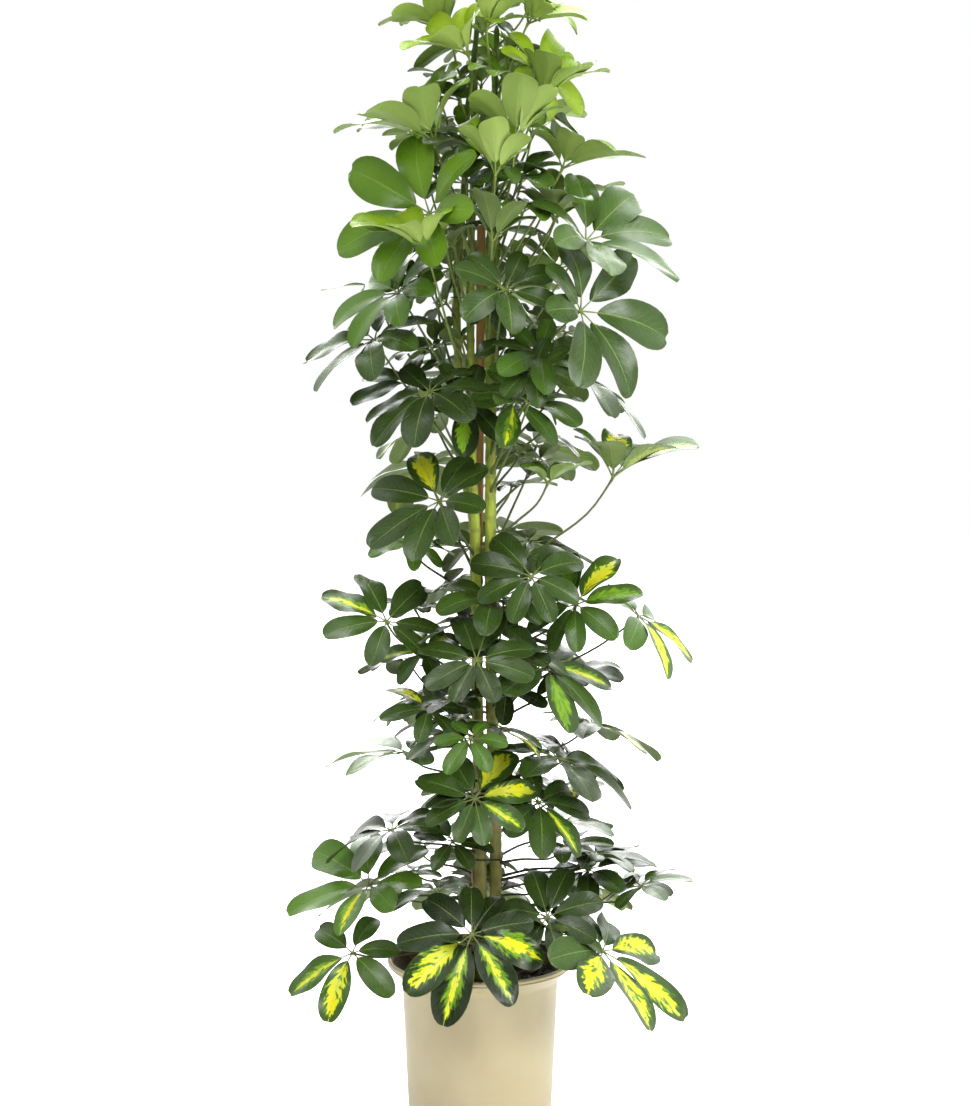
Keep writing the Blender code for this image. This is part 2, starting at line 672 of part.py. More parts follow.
def fitted(number, leaf, leaflets, placed):
    """The leaflets of one leaf, bent clear, and added to what is placed."""
    frame = frame_of(leaf)
    kept = []
    for leaflet in leaflets:
        fused = None
        for bend in BENDS:
            trial = bent(leaflet, bend)
            points, faces = blade_shell(frame, trial)
            if not over_pot(frame.hub, points):
                continue
            blade = obstacle(number, points, faces, leaf=leaf)
            neck = (points[1] + points[3]) / 2
            radii = [HUB_RADIUS, PETIOLE_RADIUS[0]]
            stalk = obstacle(number, *tube([frame.hub, neck], radii, 4), leaf=leaf, is_stalk=True)
            owners = crossed(blade, placed) | crossed(stalk, placed)
            if not owners:
                break
            if owners == {number} and fused is None:
                fused = (trial, blade, stalk)
        else:
            if fused is None:
                continue
            trial, blade, stalk = fused
        kept.append(trial)
        placed += [blade, stalk]
    return kept


def leaf_solid(leaf, path, leaflets):
    """A whole leaf as one closed solid: petiole, hub and leaflets."""
    frame = frame_of(leaf)
    count = len(leaflets)
    points = [frame.hub + frame.normal * HUB_HALF]
    middles = []
    for k, leaflet in enumerate(leaflets):
        after = leaflets[(k + 1) % count].angle + (360 if k == count - 1 else 0)
        middles.append(math.radians((leaflet.angle + after) / 2))
    for turn in middles:
        points.append(frame.hub + HUB_RADIUS * (
            frame.downhill * math.cos(turn) + frame.across * math.sin(turn)))
    stalk = len(points)
    points += petiole_rings(frame, path, leaflets)
    collar = len(points) - 3
    faces = [(stalk, stalk + 2, stalk + 1)]
    for k in range(len(path) - 1):
        low, high = stalk + 3 * k, stalk + 3 * (k + 1)
        faces += wrap(range(low, low + 3), range(high, high + 3))
    for k, leaflet in enumerate(leaflets):
        under = collar + k * 3 // count
        before, after = 1 + (k - 1) % count, 1 + k
        start = len(points)
        neck, wide, tip = sections(frame, leaflet)
        points += [*neck, *wide, *tip]
        faces += blade_faces((before, 0, after, under), start)
        following = collar + ((k + 1) % count) * 3 // count
        if following != under:
            faces.append((after, under, following))
    return points, faces


def petiole_rings(frame, path, leaflets):
    """The petiole's three-sided rings, from its root to its collar under the hub."""
    count = len(leaflets)
    groups = [[], [], []]
    for k, leaflet in enumerate(leaflets):
        groups[k * 3 // count].append(leaflet.angle)
    turns = [math.radians(sum(group) / len(group)) for group in groups]
    side = frame.downhill
    found = []
    for k in range(len(path) - 1, -1, -1):
        ahead = (path[min(k + 1, len(path) - 1)] - path[max(k - 1, 0)]).normalized()
        if k == len(path) - 1:
            ahead = frame.normal
        side = (side - ahead * side.dot(ahead)).normalized()
        other = ahead.cross(side)
        found.append([path[k] + PETIOLE_RADIUS[k] * (math.cos(t) * side + math.sin(t) * other)
                      for t in turns])
    return [point for one in reversed(found) for point in one]


def blade_faces(hub, start):
    """Triangles of a leaflet, from four points of the hub to its neck, widest part and blunt tip.

    Each four points are right edge, top, left edge and bottom. Both sides are split alike.
    """
    neck = range(start, start + 4)
    wide = range(start + 4, start + 8)
    tip_right, tip_left = start + 8, start + 9
    faces = []
    for near, far in ((hub, neck), (neck, wide)):
        faces += [(near[0], far[0], near[1]), (near[1], far[0], far[1])]
        faces += [(near[1], far[1], far[2]), (near[1], far[2], near[2])]
        faces += [(near[0], near[3], far[0]), (near[3], far[3], far[0])]
        faces += [(near[3], far[2], far[3]), (near[3], near[2], far[2])]
    right, top, left, bottom = wide
    faces += [(right, tip_right, top), (top, tip_right, tip_left), (top, tip_left, left)]
    faces += [(right, bottom, tip_right), (bottom, tip_left, tip_right), (bottom, left, tip_left)]
    return faces


def make_leafy_stem(number, stem, grown, bark, green):
    """One stem with all its leaves, fused into one solid."""
    name = f"leafy_stem_{number}"
    body = mesh_object(name, *stem_tube(stem), bark)
    leaves = bpy.data.collections.new(f"leaves_{number}")
    for k, (owner, leaf, path, leaflets) in enumerate(grown):
        if owner != number:
            continue
        shape = mesh_object(f"leaf_{number}_{k}", *leaf_solid(leaf, path, leaflets), green)
        bpy.context.scene.collection.objects.unlink(shape)
        leaves.objects.link(shape)
    union = body.modifiers.new("leaves", "BOOLEAN")
    union.operation = "UNION"
    union.operand_type = "COLLECTION"
    union.collection = leaves
    union.solver = "MANIFOLD"
    graph = bpy.context.evaluated_depsgraph_get()
    fused = bpy.data.meshes.new_from_object(body.evaluated_get(graph))
    body.modifiers.clear()
    body.data = fused
    for shape in list(leaves.objects):
        bpy.data.objects.remove(shape, do_unlink=True)
    bpy.data.collections.remove(leaves)
    return body


def main():
    clear_scene()
    make_pot()
    make_soil()
    mesh_object("cane", *cane_tube(), material("bamboo", (0.45, 0.27, 0.10), 0.6))
    for k, height in enumerate(TIE_HEIGHTS, 1):
        mesh_object(f"tie_{k}", *tie_ring(height), material(f"tie_wire_{k}", (0.03, 0.03, 0.03), 0.5))
    grown = grown_leaves()
    for number, stem in enumerate(STEMS, 1):
        bark = material(f"bark_{number}", (0.36, 0.33, 0.14), 0.7)
        green = material(f"leaf_green_{number}", (0.05, 0.16, 0.03), 0.35)
        make_leafy_stem(number, stem, grown, bark, green)


main()
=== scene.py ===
"""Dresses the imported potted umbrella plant: leaves, bark, wire, soil and pot, with floor, light and camera.

Metres, +Z up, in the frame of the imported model. Directions round the plant are azimuths in
degrees: 0 is the front (-Y), 90 is the right (+X), -90 the left and 180 the back. The leaves
stand where the source of the solids has them, found by the same table and the same rule.
"""

import math
import random
from typing import NamedTuple

import bpy
from mathutils import Matrix, Vector, noise
from mathutils.bvhtree import BVHTree


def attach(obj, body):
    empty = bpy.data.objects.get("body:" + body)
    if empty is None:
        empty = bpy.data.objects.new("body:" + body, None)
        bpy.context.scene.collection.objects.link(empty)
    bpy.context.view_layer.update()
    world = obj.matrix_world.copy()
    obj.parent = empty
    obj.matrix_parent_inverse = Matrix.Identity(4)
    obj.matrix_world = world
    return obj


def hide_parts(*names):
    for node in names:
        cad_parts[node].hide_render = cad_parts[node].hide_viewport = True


UP = Vector((0, 0, 1))

# Pot
POT_HEIGHT = 0.220
RIM_RADIUS = 0.120
LIP_THICKNESS = 0.006
SHOULDER_FOOT = 0.196
WALL_TOP_RADIUS = 0.101
BASE_RADIUS = 0.092
BASE_EDGE = 0.003
WALL = 0.004
FLOOR = 0.005
DRAIN_RADIUS = 0.005
DRAIN_RING = 0.045
DRAINS = 4
DRAIN_AZIMUTH = 41
POT_SIDES = 128
EDGE_STEPS = 6
WALL_STEPS = 8
LIP_STEPS = 10
LIP_TURN = (-70, 180)
DRILL_SIDES = 24
# How far below the rim and how far in from the outer surface the pot's inside is painted dark brown
DARK_BELOW_RIM = 0.004
DARK_INSIDE_DEPTH = 0.8 * WALL

# How far the pot's section lies outward and above its corners, where it rounds them
SHOULDER_BEND = ((0.0002, -0.0015), (0.0013, 0.0012))
SHOULDER_SHARES = (0.25, 0.5, 0.75, 0.93)
SHOULDER_SWELL = 0.0004
UNDER_LIP = (-0.0021, -0.0023)
INNER_BEND = ((0.0008, 0.0015), (0.0, -0.0020))
FLOOR_BEND = ((0.001, 0.006), (-0.003, 0.0))

# Soil, with its lumps as (how many to the metre, share of the height)
SOIL_TOP = 0.196
GAP = 0.0003
SOIL_SIDES = 96
SOIL_RINGS = 26
SOIL_LUMP = 0.0035
SOIL_LUMPS = ((38, 0.8), (95, 0.35), (240, 0.15))
SOIL_ABOVE_FLOOR = 0.002
SOIL_BASE_INSET = 0.004
CRUMBS = 420
CRUMB_SEED = 41
CRUMB_SIZE = (0.0025, 0.0085)
CRUMB_WIDTH = (0.4, 0.8)
CRUMB_HEIGHT = (0.22, 0.5)
CRUMB_LEAN = 0.5
CRUMB_ROUGHNESS = 0.25
CRUMB_BURIED = 0.35
CRUMB_FROM_STEMS = 0.010
CRUMB_CORNERS = ((1, 0, 0), (0.3, 0.9, 0), (-0.8, 0.6, 0), (-1, -0.2, 0), (-0.3, -0.9, 0), (0.7, -0.7, 0),
                 (0, 0, 1), (0, 0, -1))
CRUMB_FACES = [(k, (k + 1) % 6, 6) for k in range(6)] + [((k + 1) % 6, k, 7) for k in range(6)]

# Cane and ties
CANE_FOOT = Vector((-0.008, 0.003, 0.040))
CANE_TOP = Vector((0.002, 0.003, 1.160))
CANE_LENGTH = (CANE_TOP - CANE_FOOT).length
CANE_RADIUS = 0.0055
CANE_NODE_SPACING = 0.24
CANE_NODE_START = -0.05
CANE_NODES = [CANE_NODE_START + k * CANE_NODE_SPACING
              for k in range(1, int(CANE_LENGTH / CANE_NODE_SPACING) + 1)]
CANE_NODE_RISE = 0.0009
CANE_NODE_HALF = 0.004
CANE_GROOVE = 0.0002
CANE_GROOVE_BESIDE = 1.6
CANE_GROOVE_EDGE = 4
CANE_SIDES = 24
CANE_STEPS = 320
TIE_HEIGHTS = (0.353, 0.684, 1.070)
TIE_WIRE = 0.0009
TIE_POINTS = 14
TIE_ROUNDING = 5
TIE_SLACK = 0.0006
TIE_SIDES = 8
TIE_TAIL = 0.022
TIE_TAIL_SIDES = 7
TIE_TAIL_STEPS = 60
TIE_TAIL_SAG = 0.35
TIE_TAIL_INSIDE = 0.04
TIE_TAIL_DRAWN_IN = 0.25
TIE_TAIL_WIRE = 0.8 * TIE_WIRE
TIE_TWIST_RADIUS = 0.85 * TIE_WIRE
TIE_TURNS = 5
TIE_TAIL_AZIMUTHS = (25, -48, 12)

# Stems
PLANT_X = 0.008
STEM_SIDES = 8
STEM_RING_SPACING = 0.120
STEM_BASE_RADIUS = 0.008
STEM_TIP_RADIUS = 0.0032
STEM_FULL_HEIGHT = 1.45
BARK_FOOT = 0.165
BARK_SEED = 700
BARK_SIDES = 22
BARK_STEP = 0.004
BARK_SWELL = 0.05
BARK_SWELLS_TO_METRE = 22.0
BARK_APART = 3.7
BARK_TIP = 0.006
BARK_TIP_SHARE = 0.35
SCAR_RISE = 0.0006
SCAR_HALF = 0.0022
SCAR_SPACING = (0.016, 0.034)
SCAR_LOWEST = 0.02
SCAR_HIGHEST = 0.05
SCAR_SHADE = 0.8

# Leaves, as in the solids
PETIOLE_RADIUS = (0.0019, 0.0015, 0.0013, 0.0014)
HUB_RADIUS = 0.0030
HUB_HALF = 0.0013
LEAFLET_WIDTH = 0.43
SHORTEST_LEAFLET = 0.70
STATIONS = (0.24, 0.66, 1.0)
WIDTHS = (0.10, 1.0, 0.46)
THICKNESS = (0.0018, 0.0016)
FOLD = 0.20
LIFT = 0.16
BEND = 0.20
ARCH = 0.30
SAG = 0.06
CLEARANCE = 0.0006
POT_CLEARANCE = 0.002
EDGE_CHECKS = 6
LOWEST_ROOT = 0.228
ROOT_BELOW_TIP = 0.006
RISE_LEAST = 0.14
RISE_GAIN = 1.35
RISE_LOSS = 0.25
LEAVE_OUT = 0.28
LEAVE_CLIMB = 0.08
LEAVE_CLIMB_GAIN = 0.26
ARRIVE_BELOW = 0.24
LEAF_DROOP = (-0.06, 0.16)
LEAFLET_DROOP = 0.10
LEAFLET_TURN = 9
LEAFLET_TWIST = 22
LEAFLET_REACH = (0.92, 1.04)

# Small leaves that fill the plant out, by stretches of height: how many are tried, how far out,
# between which azimuths and how much they tilt. In the bare stretches the stems stay free, so that
# they are seen from the front.
FILL_ZONES = (
    (0.25, 0.33, 9, (0.05, 0.13), (-180, 180), (5, 35)),
    (0.26, 0.42, 14, (0.10, 0.19), (40, 115), (-5, 20)),
    (0.30, 0.43, 12, (0.09, 0.17), (-180, 180), (-5, 20)),
    (0.44, 0.72, 48, (0.04, 0.12), (-180, 180), (-10, 35)),
    (0.72, 0.93, 16, (0.04, 0.10), (-180, 180), (0, 45)),
    (0.93, 1.12, 50, (0.035, 0.11), (-180, 180), (10, 60)),
    (0.94, 1.08, 45, (0.05, 0.13), (-110, 75), (10, 60)),
    (1.12, 1.43, 150, (0.015, 0.085), (-180, 180), (10, 40)),
)
FILL_SEED = 77
FILL_STEM = 9
FILL_REACH = (0.058, 0.090)
FILL_LEAFLETS = (5, 6, 6, 7)
FILL_FACE = 50
FILL_SPIN = 20
FILL_FEWEST = 4
FILL_YOUNG = (0.95, 1.30)
FILL_CUP_YOUNG = (0.5, 1.2)
FILL_CUP_OLD = (0.0, 0.4)
FILL_LIGHT = (0.90, 1.40)
FILL_TONES = (0.10, 0.85)
FILL_TONE_SPREAD = (-0.08, 0.16)
FILL_SHADED = 0.55
FILL_SHADED_SHARE = 0.4
FILL_MARKED_BELOW = 0.95
FILL_MARKED_SHARE = 0.4
BARE_STRETCHES = ((0.33, 0.44), (0.76, 0.92))
BARE_HALF_WIDTH = 0.07

# Leaves, in their finer form: a leaflet's small stalk as (share of its length, how wide), a petiole's
# swollen ends as (how thick, over what share of its length) and the hub's knob as (level, how wide)
BLADE_SEED = 900
BLADE_FOOT = 0.15
BLADE_SHARES = (0.002, 0.992)
BLADE_ROWS = 15
BLADE_HALF_COLUMNS = 4
BLADE_BASE_POWER = 0.70
BLADE_TIP_POWER = 0.48
BLADE_THICKNESS = 0.0007
BLADE_EDGE_LOSS = 0.45
BLADE_NARROWEST = 0.7
WAVE_HEIGHT = 0.020
WAVE_SPREAD = (0.3, 1.6)
WAVE_TURNS = (0.9, 1.7)
WAVE_LEFT_LAG = 0.9
RIB_DEPTH = 0.0007
RIB_ROUND = 0.02
RIB_DROP = 0.14
FOLD_AT_RIB = 1.15
FOLD_EASING = 0.35
TONE_SPREAD = 0.05
PETIOLULE_RADIUS = 0.0010
PETIOLULE = ((0.0, 1.35), (0.05, 1.1), (0.1, 0.95), (0.15, 0.88), (0.2, 0.85), (0.26, 0.55))
PETIOLULE_SIDES = 6
SHEATH = (0.0012, 0.10)
COLLAR = (0.0007, 0.06)
STALK_PARTS = 4
STALK_SIDES = 8
HUB_SIDES = 12
HUB_LEVELS = ((-1.0, 0.55), (-0.35, 0.95), (0.35, 0.9), (0.9, 0.5))
HUB_TALLER = 1.15
HUB_NARROWER = 0.82
HUB_TIP = 1.35
STALK_YOUNG = (0.45, 1.40)
STALK_OLDEST = 0.06
STALK_TAPER = 1.4
STALK_END_LIT = 0.15
PETIOLULE_LIT = 0.6
HUB_LIT = 0.75

# Camera and light: each light's place, the height that it points at, its size and its power
CAMERA_PLACE = (0.0065, -3.0, 1.058)
CAMERA_PITCH = 5.93
CAMERA_LENS = 77.1
LIGHTS = {
    "top_light": ((0.3, 0.5, 4.2), 0.8, 3.4, 180),
    "key_light": ((-0.9, -3.0, 3.1), 0.9, 1.7, 78),
    "fill_light": ((2.6, -1.6, 1.5), 0.6, 1.4, 76),
    "back_light": ((0.0, 4.0, 2.9), 0.5, 3.8, 210),
}
WORLD_DIFFUSE = 0.28
WORLD_GLOSS_FRONT = 0.10
WORLD_GLOSS_BACK = 1.80
STAGE_HALF = 8.0

# Colours. A pattern blends the two of a pair, and a longer row has stops of (place, colour).
LEAF_GREENS = (
    (0.0, (0.009, 0.019, 0.003)), (0.25, (0.042, 0.086, 0.012)), (0.5, (0.072, 0.168, 0.012)),
    (0.75, (0.160, 0.300, 0.010)), (1.0, (0.270, 0.400, 0.013)),
)
LEAF_CLOUD = (0.110, 0.230, 0.012)
LEAF_MARGIN = (0.006, 0.020, 0.002)
LEAF_FLECK = (0.12, 0.20, 0.04)
LEAF_LIMES = ((0.100, 0.260, 0.014), (0.230, 0.420, 0.016))
LEAF_YELLOWS = ((0.72, 0.68, 0.010), (0.62, 0.66, 0.04))
# The lower side's grey-green from old to young leaves. The young one is made paler: painted light shining
# through the leaf and bounced up from below.
LEAF_SAGES_AND_GLOW = ((0.075, 0.120, 0.028), (0.380, 0.490, 0.140))
LEAF_RIB = (0.28, 0.40, 0.11)
LEAF_RIM = (0.16, 0.22, 0.06)
STALK_GREENS = (
    (0.0, (0.030, 0.036, 0.022)), (0.3, (0.055, 0.075, 0.024)), (0.65, (0.130, 0.200, 0.030)),
    (1.0, (0.250, 0.360, 0.040)),
)
STALK_BROWN = (0.085, 0.060, 0.035)
STALK_FRESH = (0.190, 0.250, 0.050)
BARK_OLD = ((0.330, 0.275, 0.085), (0.190, 0.200, 0.030))
BARK_YOUNG = ((0.480, 0.540, 0.050), (0.260, 0.370, 0.030))
BARK_TOP = ((0.170, 0.250, 0.030), (0.090, 0.150, 0.020))
BARK_THREAD = (0.130, 0.190, 0.022)
BARK_PORE = (0.46, 0.44, 0.15)
BARK_SCAR = (0.130, 0.095, 0.045)
CANE_FIBRES = ((0.400, 0.215, 0.060), (0.250, 0.130, 0.034))
CANE_PATCH = (0.330, 0.230, 0.080)
CANE_RING = (0.070, 0.035, 0.015)
WIRES = ((0.016, 0.017, 0.014), (0.075, 0.070, 0.055))
SOILS = ((0.012, 0.007, 0.005), (0.065, 0.034, 0.018))
SOIL_DAMP = (0.008, 0.005, 0.004)
CRUMB_BROWNS = (
    (0.0, (0.010, 0.006, 0.004)), (0.55, (0.036, 0.018, 0.010)), (0.8, (0.120, 0.052, 0.020)),
    (1.0, (0.340, 0.150, 0.045)),
)
CRUMB_GRAIN = (0.016, 0.009, 0.006)
POT_CREAMS = ((0.528, 0.456, 0.280), (0.488, 0.412, 0.246))
POT_DUST = (0.38, 0.30, 0.19)
POT_SOILED = (0.30, 0.20, 0.10)
# The dark browns that the pot's inner wall and floor are painted
POT_INSIDE_BROWNS = ((0.028, 0.013, 0.008), (0.210, 0.078, 0.022))
WHITE = (1.0, 1.0, 1.0)
FLOOR_WHITE = (0.9, 0.9, 0.9)

# The pattern on a leaflet: side veins along it, how far they slant, its width to its length, how far
# apart the patterns of two leaflets lie, and where its yellow and lime end
VEINS = 9.0
VEIN_SLANT = 0.30
PATTERN_WIDTH = 0.42
PATTERN_SPREAD = 53.0
MARKS_END = 0.93


class Leaf(NamedTuple):
    """One umbrella leaf: where its hub is, which way its upper side faces, and its leaflets.

    height is the hub's height, azimuth and out its direction and distance from the plant's
    middle line. face is the azimuth to which the leaf's plane leans, and tilt how far it slopes
    down that way, or up if negative. reach is the length of the longest leaflet with its stalk,
    which points to face, or spin degrees further round. marks has a letter for each leaflet round
    the hub: a dot for plain green, l for a lime middle, s, m and w for a narrow, middling and wide
    yellow one. tone goes from 0 for old dark green to 1 for young yellow-green. cup is how steeply
    the leaflets rise out of the leaf's plane, as a slope.
    """

    height: float
    azimuth: float
    out: float
    face: float
    tilt: float
    reach: float
    marks: str
    tone: float
    cup: float = 0.0
    spin: float = 0.0


class Stem(NamedTuple):
    """A stem as (height, x, y) points from the soil up, and the leaves that grow from it."""

    route: tuple
    leaves: tuple


FRONT_LEFT = Stem(
    route=(
        (0.11, -0.003, -0.016), (0.35, 0.001, -0.014), (0.60, -0.004, -0.013),
        (0.76, -0.005, -0.013), (0.88, -0.010, -0.014), (1.07, -0.012, -0.013),
        (1.25, -0.008, -0.012), (1.34, -0.006, -0.010),
    ),
    leaves=(
        Leaf(1.365, -24, 0.055, -60, 38, 0.096, ".......", 0.97, 1.4),
        Leaf(1.258, -42, 0.095, -86, 26, 0.138, ".......", 0.72, 1.2),
        Leaf(1.171, -41, 0.105, -38, 68, 0.134, ".......", 0.62, 0.45, -120),
        Leaf(1.124, -31, 0.140, -60, 22, 0.104, ".......", 0.86, 1.4),
        Leaf(1.075, -61, 0.124, -45, 45, 0.096, ".......", 0.50, 0.3, -60),
        Leaf(1.017, -67, 0.150, -50, 36, 0.110, ".......", 0.24, 0.25, -60),
        Leaf(0.955, -39, 0.110, -35, 34, 0.100, "........", 0.12),
        Leaf(0.818, -40, 0.090, -30, 52, 0.104, "..w.....", 0.16, 0.2, -70),
        Leaf(0.665, -68, 0.135, -160, -38, 0.100, "....s..", 0.20),
        Leaf(0.625, -6, 0.115, 180, -46, 0.092, "........", 0.14),
        Leaf(0.620, -86, 0.080, 170, -30, 0.074, "..sws.", 0.26),
        Leaf(0.555, -50, 0.095, -150, -35, 0.076, "...w..", 0.22),
        Leaf(0.530, -9, 0.125, 0, 40, 0.056, "......", 0.40),
        Leaf(0.490, -84, 0.100, -90, 6, 0.112, ".......", 0.50, 0.1),
        Leaf(0.450, -8, 0.105, 175, -50, 0.090, ".sww....", 0.24),
        Leaf(0.395, -74, 0.125, -60, 22, 0.096, ".......", 0.10, 0.1, -30),
        Leaf(0.380, -51, 0.055, 180, -35, 0.066, "......", 0.20),
        Leaf(0.322, -79, 0.152, -30, 32, 0.118, ".....s.", 0.52, 0.2, -105),
        Leaf(0.284, -8, 0.128, -5, 50, 0.112, "...wssm..", 0.03, 0.0, -10),
        Leaf(0.246, -66, 0.185, -25, 45, 0.092, "..sw..", 0.30, 0.0, -30),
    ),
)

FRONT_RIGHT = Stem(
    route=(
        (0.11, 0.022, -0.013), (0.35, 0.020, -0.012), (0.60, 0.0135, -0.012),
        (0.76, 0.012, -0.012), (0.88, 0.0125, -0.011), (1.07, 0.011, -0.010),
        (1.25, 0.016, -0.008), (1.40, 0.021, -0.004),
    ),
    leaves=(
        Leaf(1.405, 62, 0.058, 60, 36, 0.086, ".......", 0.98, 1.2),
        Leaf(1.395, 0, 0.050, -20, 0, 0.086, "......", 1.00, 1.1),
        Leaf(1.350, 60, 0.070, 40, 62, 0.088, ".......", 0.94, 0.3, 90),
        Leaf(1.312, 48, 0.090, 70, 24, 0.096, "......", 0.86, 1.6),
        Leaf(1.255, 19, 0.106, 0, -12, 0.100, ".......", 0.74, 1.4),
        Leaf(1.215, 5, 0.124, -35, -10, 0.084, "......", 0.78, 1.6),
        Leaf(1.227, 60, 0.108, 85, 24, 0.106, ".......", 0.70, 0.9),
        Leaf(1.136, 4, 0.110, -60, -10, 0.094, "......", 0.24, 1.4),
        Leaf(1.138, 57, 0.145, 42, 44, 0.132, ".......", 0.30, 0.5, 75),
        Leaf(1.163, 62, 0.095, 45, 10, 0.092, ".......", 0.42, 1.1),
        Leaf(1.078, 11, 0.120, 15, 45, 0.092, ".......", 0.18, 0.35),
        Leaf(1.053, 49, 0.152, 45, 74, 0.134, ".......", 0.22, 0.4, 70),
        Leaf(1.000, 34, 0.115, 10, 40, 0.082, ".......", 0.34, 0.3),
        Leaf(0.945, 27, 0.075, 35, 58, 0.078, "..s...", 0.28),
        Leaf(0.846, 72, 0.166, 88, 14, 0.118, "..ws.w.", 0.32, 1.1),
        Leaf(0.840, 52, 0.097, 60, 5, 0.064, "......", 0.50, 0.8),
        Leaf(0.725, 36, 0.095, 180, -55, 0.088, "........", 0.16),
        Leaf(0.685, 71, 0.120, 150, -50, 0.096, "..lwl...", 0.34),
        Leaf(0.610, 52, 0.095, 40, 42, 0.108, "...l.s..", 0.18),
        Leaf(0.530, 16, 0.060, 90, 20, 0.074, "..w...", 0.34),
        Leaf(0.490, 63, 0.100, 80, 20, 0.120, ".......", 0.12),
        Leaf(0.435, 51, 0.085, 40, 40, 0.088, "....s...", 0.18),
        Leaf(0.320, 83, 0.200, 110, -20, 0.074, "......", 0.20),
        Leaf(0.295, 42, 0.115, 170, -50, 0.084, "........", 0.12),
        Leaf(0.250, 61, 0.168, 60, 38, 0.132, "..wwww..", 0.22),
    ),
)

BACK_RIGHT = Stem(
    route=(
        (0.11, 0.024, 0.017), (0.35, 0.021, 0.016), (0.60, 0.015, 0.015),
        (0.88, 0.015, 0.014), (1.07, 0.018, 0.013), (1.25, 0.020, 0.012),
        (1.32, 0.018, 0.012),
    ),
    leaves=(
        Leaf(1.340, 164, 0.065, 165, 18, 0.090, ".......", 0.88, 1.2),
        Leaf(1.280, 150, 0.118, 150, 18, 0.096, ".......", 0.80, 1.1),
        Leaf(1.299, 92, 0.078, 100, 45, 0.078, ".......", 0.74, 0.1),
        Leaf(1.185, 99, 0.095, 110, 18, 0.096, ".......", 0.62, 1.0),
        Leaf(1.105, 131, 0.120, 125, 20, 0.096, ".......", 0.56, 0.7),
        Leaf(1.080, 171, 0.130, 175, 24, 0.095, ".......", 0.50),
        Leaf(1.025, 130, 0.135, 125, 24, 0.096, ".......", 0.44),
        Leaf(0.975, 98, 0.110, 92, 30, 0.122, ".......", 0.20),
        Leaf(0.875, 153, 0.145, 155, 26, 0.100, "..l....", 0.30),
        Leaf(0.760, 172, 0.140, 175, 26, 0.102, "...s...", 0.26),
        Leaf(0.665, 90, 0.195, 70, 40, 0.100, "..ww..", 0.38),
        Leaf(0.600, 148, 0.150, 150, 26, 0.104, ".s...l.", 0.24),
        Leaf(0.520, 105, 0.140, 100, 18, 0.104, "..w....", 0.26),
        Leaf(0.330, 99, 0.135, 140, -20, 0.098, ".......", 0.18),
        Leaf(0.285, 137, 0.165, 130, 28, 0.104, "..wws..", 0.24),
    ),
)

BACK_LEFT = Stem(
    route=(
        (0.11, -0.005, 0.019), (0.35, 0.000, 0.018), (0.60, -0.003, 0.016),
        (0.76, -0.007, 0.014), (0.90, -0.026, 0.011), (1.07, -0.029, 0.009),
        (1.25, -0.018, 0.008), (1.44, -0.002, 0.004),
    ),
    leaves=(
        Leaf(1.450, 60, 0.006, 170, 8, 0.064, ".......", 0.96, 1.2),
        Leaf(1.400, -98, 0.048, -92, 30, 0.090, ".......", 0.92, 1.3),
        Leaf(1.314, -75, 0.060, -60, 40, 0.084, "......", 0.76, 0.9),
        Leaf(1.240, -158, 0.122, -155, 18, 0.100, ".......", 0.64, 1.1),
        Leaf(1.120, -146, 0.130, -140, 20, 0.104, ".......", 0.54, 0.7),
        Leaf(1.085, -96, 0.140, -95, 2, 0.072, "......", 0.46),
        Leaf(0.975, -173, 0.140, 180, 26, 0.100, ".......", 0.38),
        Leaf(0.915, -103, 0.070, -100, 30, 0.092, "..ls..", 0.40),
        Leaf(0.850, -146, 0.145, -145, 26, 0.104, "...s...", 0.28),
        Leaf(0.755, -99, 0.095, -150, -20, 0.072, "..l...", 0.42),
        Leaf(0.700, -135, 0.070, -120, 24, 0.078, "......", 0.22),
        Leaf(0.540, -156, 0.145, -150, 26, 0.104, "..w....", 0.24),
        Leaf(0.405, -176, 0.150, 180, 24, 0.104, "....s..", 0.22),
        Leaf(0.325, -108, 0.100, -90, 10, 0.066, "......", 0.34),
        Leaf(0.290, -128, 0.170, -135, 28, 0.104, "..sw...", 0.22),
        Leaf(0.270, -171, 0.160, 180, 26, 0.108, "...w.l.", 0.20),
    ),
)

STEMS = (FRONT_LEFT, FRONT_RIGHT, BACK_RIGHT, BACK_LEFT)

# How much yellow and how much lime each letter stands for
MARKS = {".": (0.0, 0.0), "l": (0.0, 0.55), "s": (0.20, 0.5), "m": (0.38, 0.8), "w": (0.56, 0.7)}

# How a petiole's root may be moved up or down the stem, and how a leaflet may be turned in the
# leaf's plane (degrees), drooped (share of its length) and shortened, until it clears the rest.
ROOT_MOVES = (0.0, -0.012, 0.012, -0.024, 0.024, -0.036)
BENDS = (
    (0, 0.0, 1.0), (9, 0.0, 1.0), (-9, 0.0, 1.0), (0, 0.16, 1.0), (0, -0.16, 1.0),
    (10, 0.14, 0.95), (-10, 0.14, 0.95), (10, -0.14, 0.95), (-10, -0.14, 0.95),
    (0, 0.32, 0.95), (0, -0.32, 0.95), (16, 0.10, 0.85), (-16, 0.10, 0.85),
    (0, 0.45, 0.85), (0, -0.45, 0.85), (12, 0.38, 0.80), (-12, 0.38, 0.80),
    (12, -0.38, 0.80), (-12, -0.38, 0.80), (0, 0.2, 0.65), (0, -0.2, 0.65), (0, 0.0, 0.55),
)


def heading(azimuth):
    """The level direction of an azimuth."""
    turn = math.radians(azimuth)
    return Vector((math.sin(turn), -math.cos(turn), 0.0))


def share_of(value, low, high):
    """How far a value is on the way from low to high, from 0 to 1."""
    return min(max((value - low) / (high - low), 0), 1)


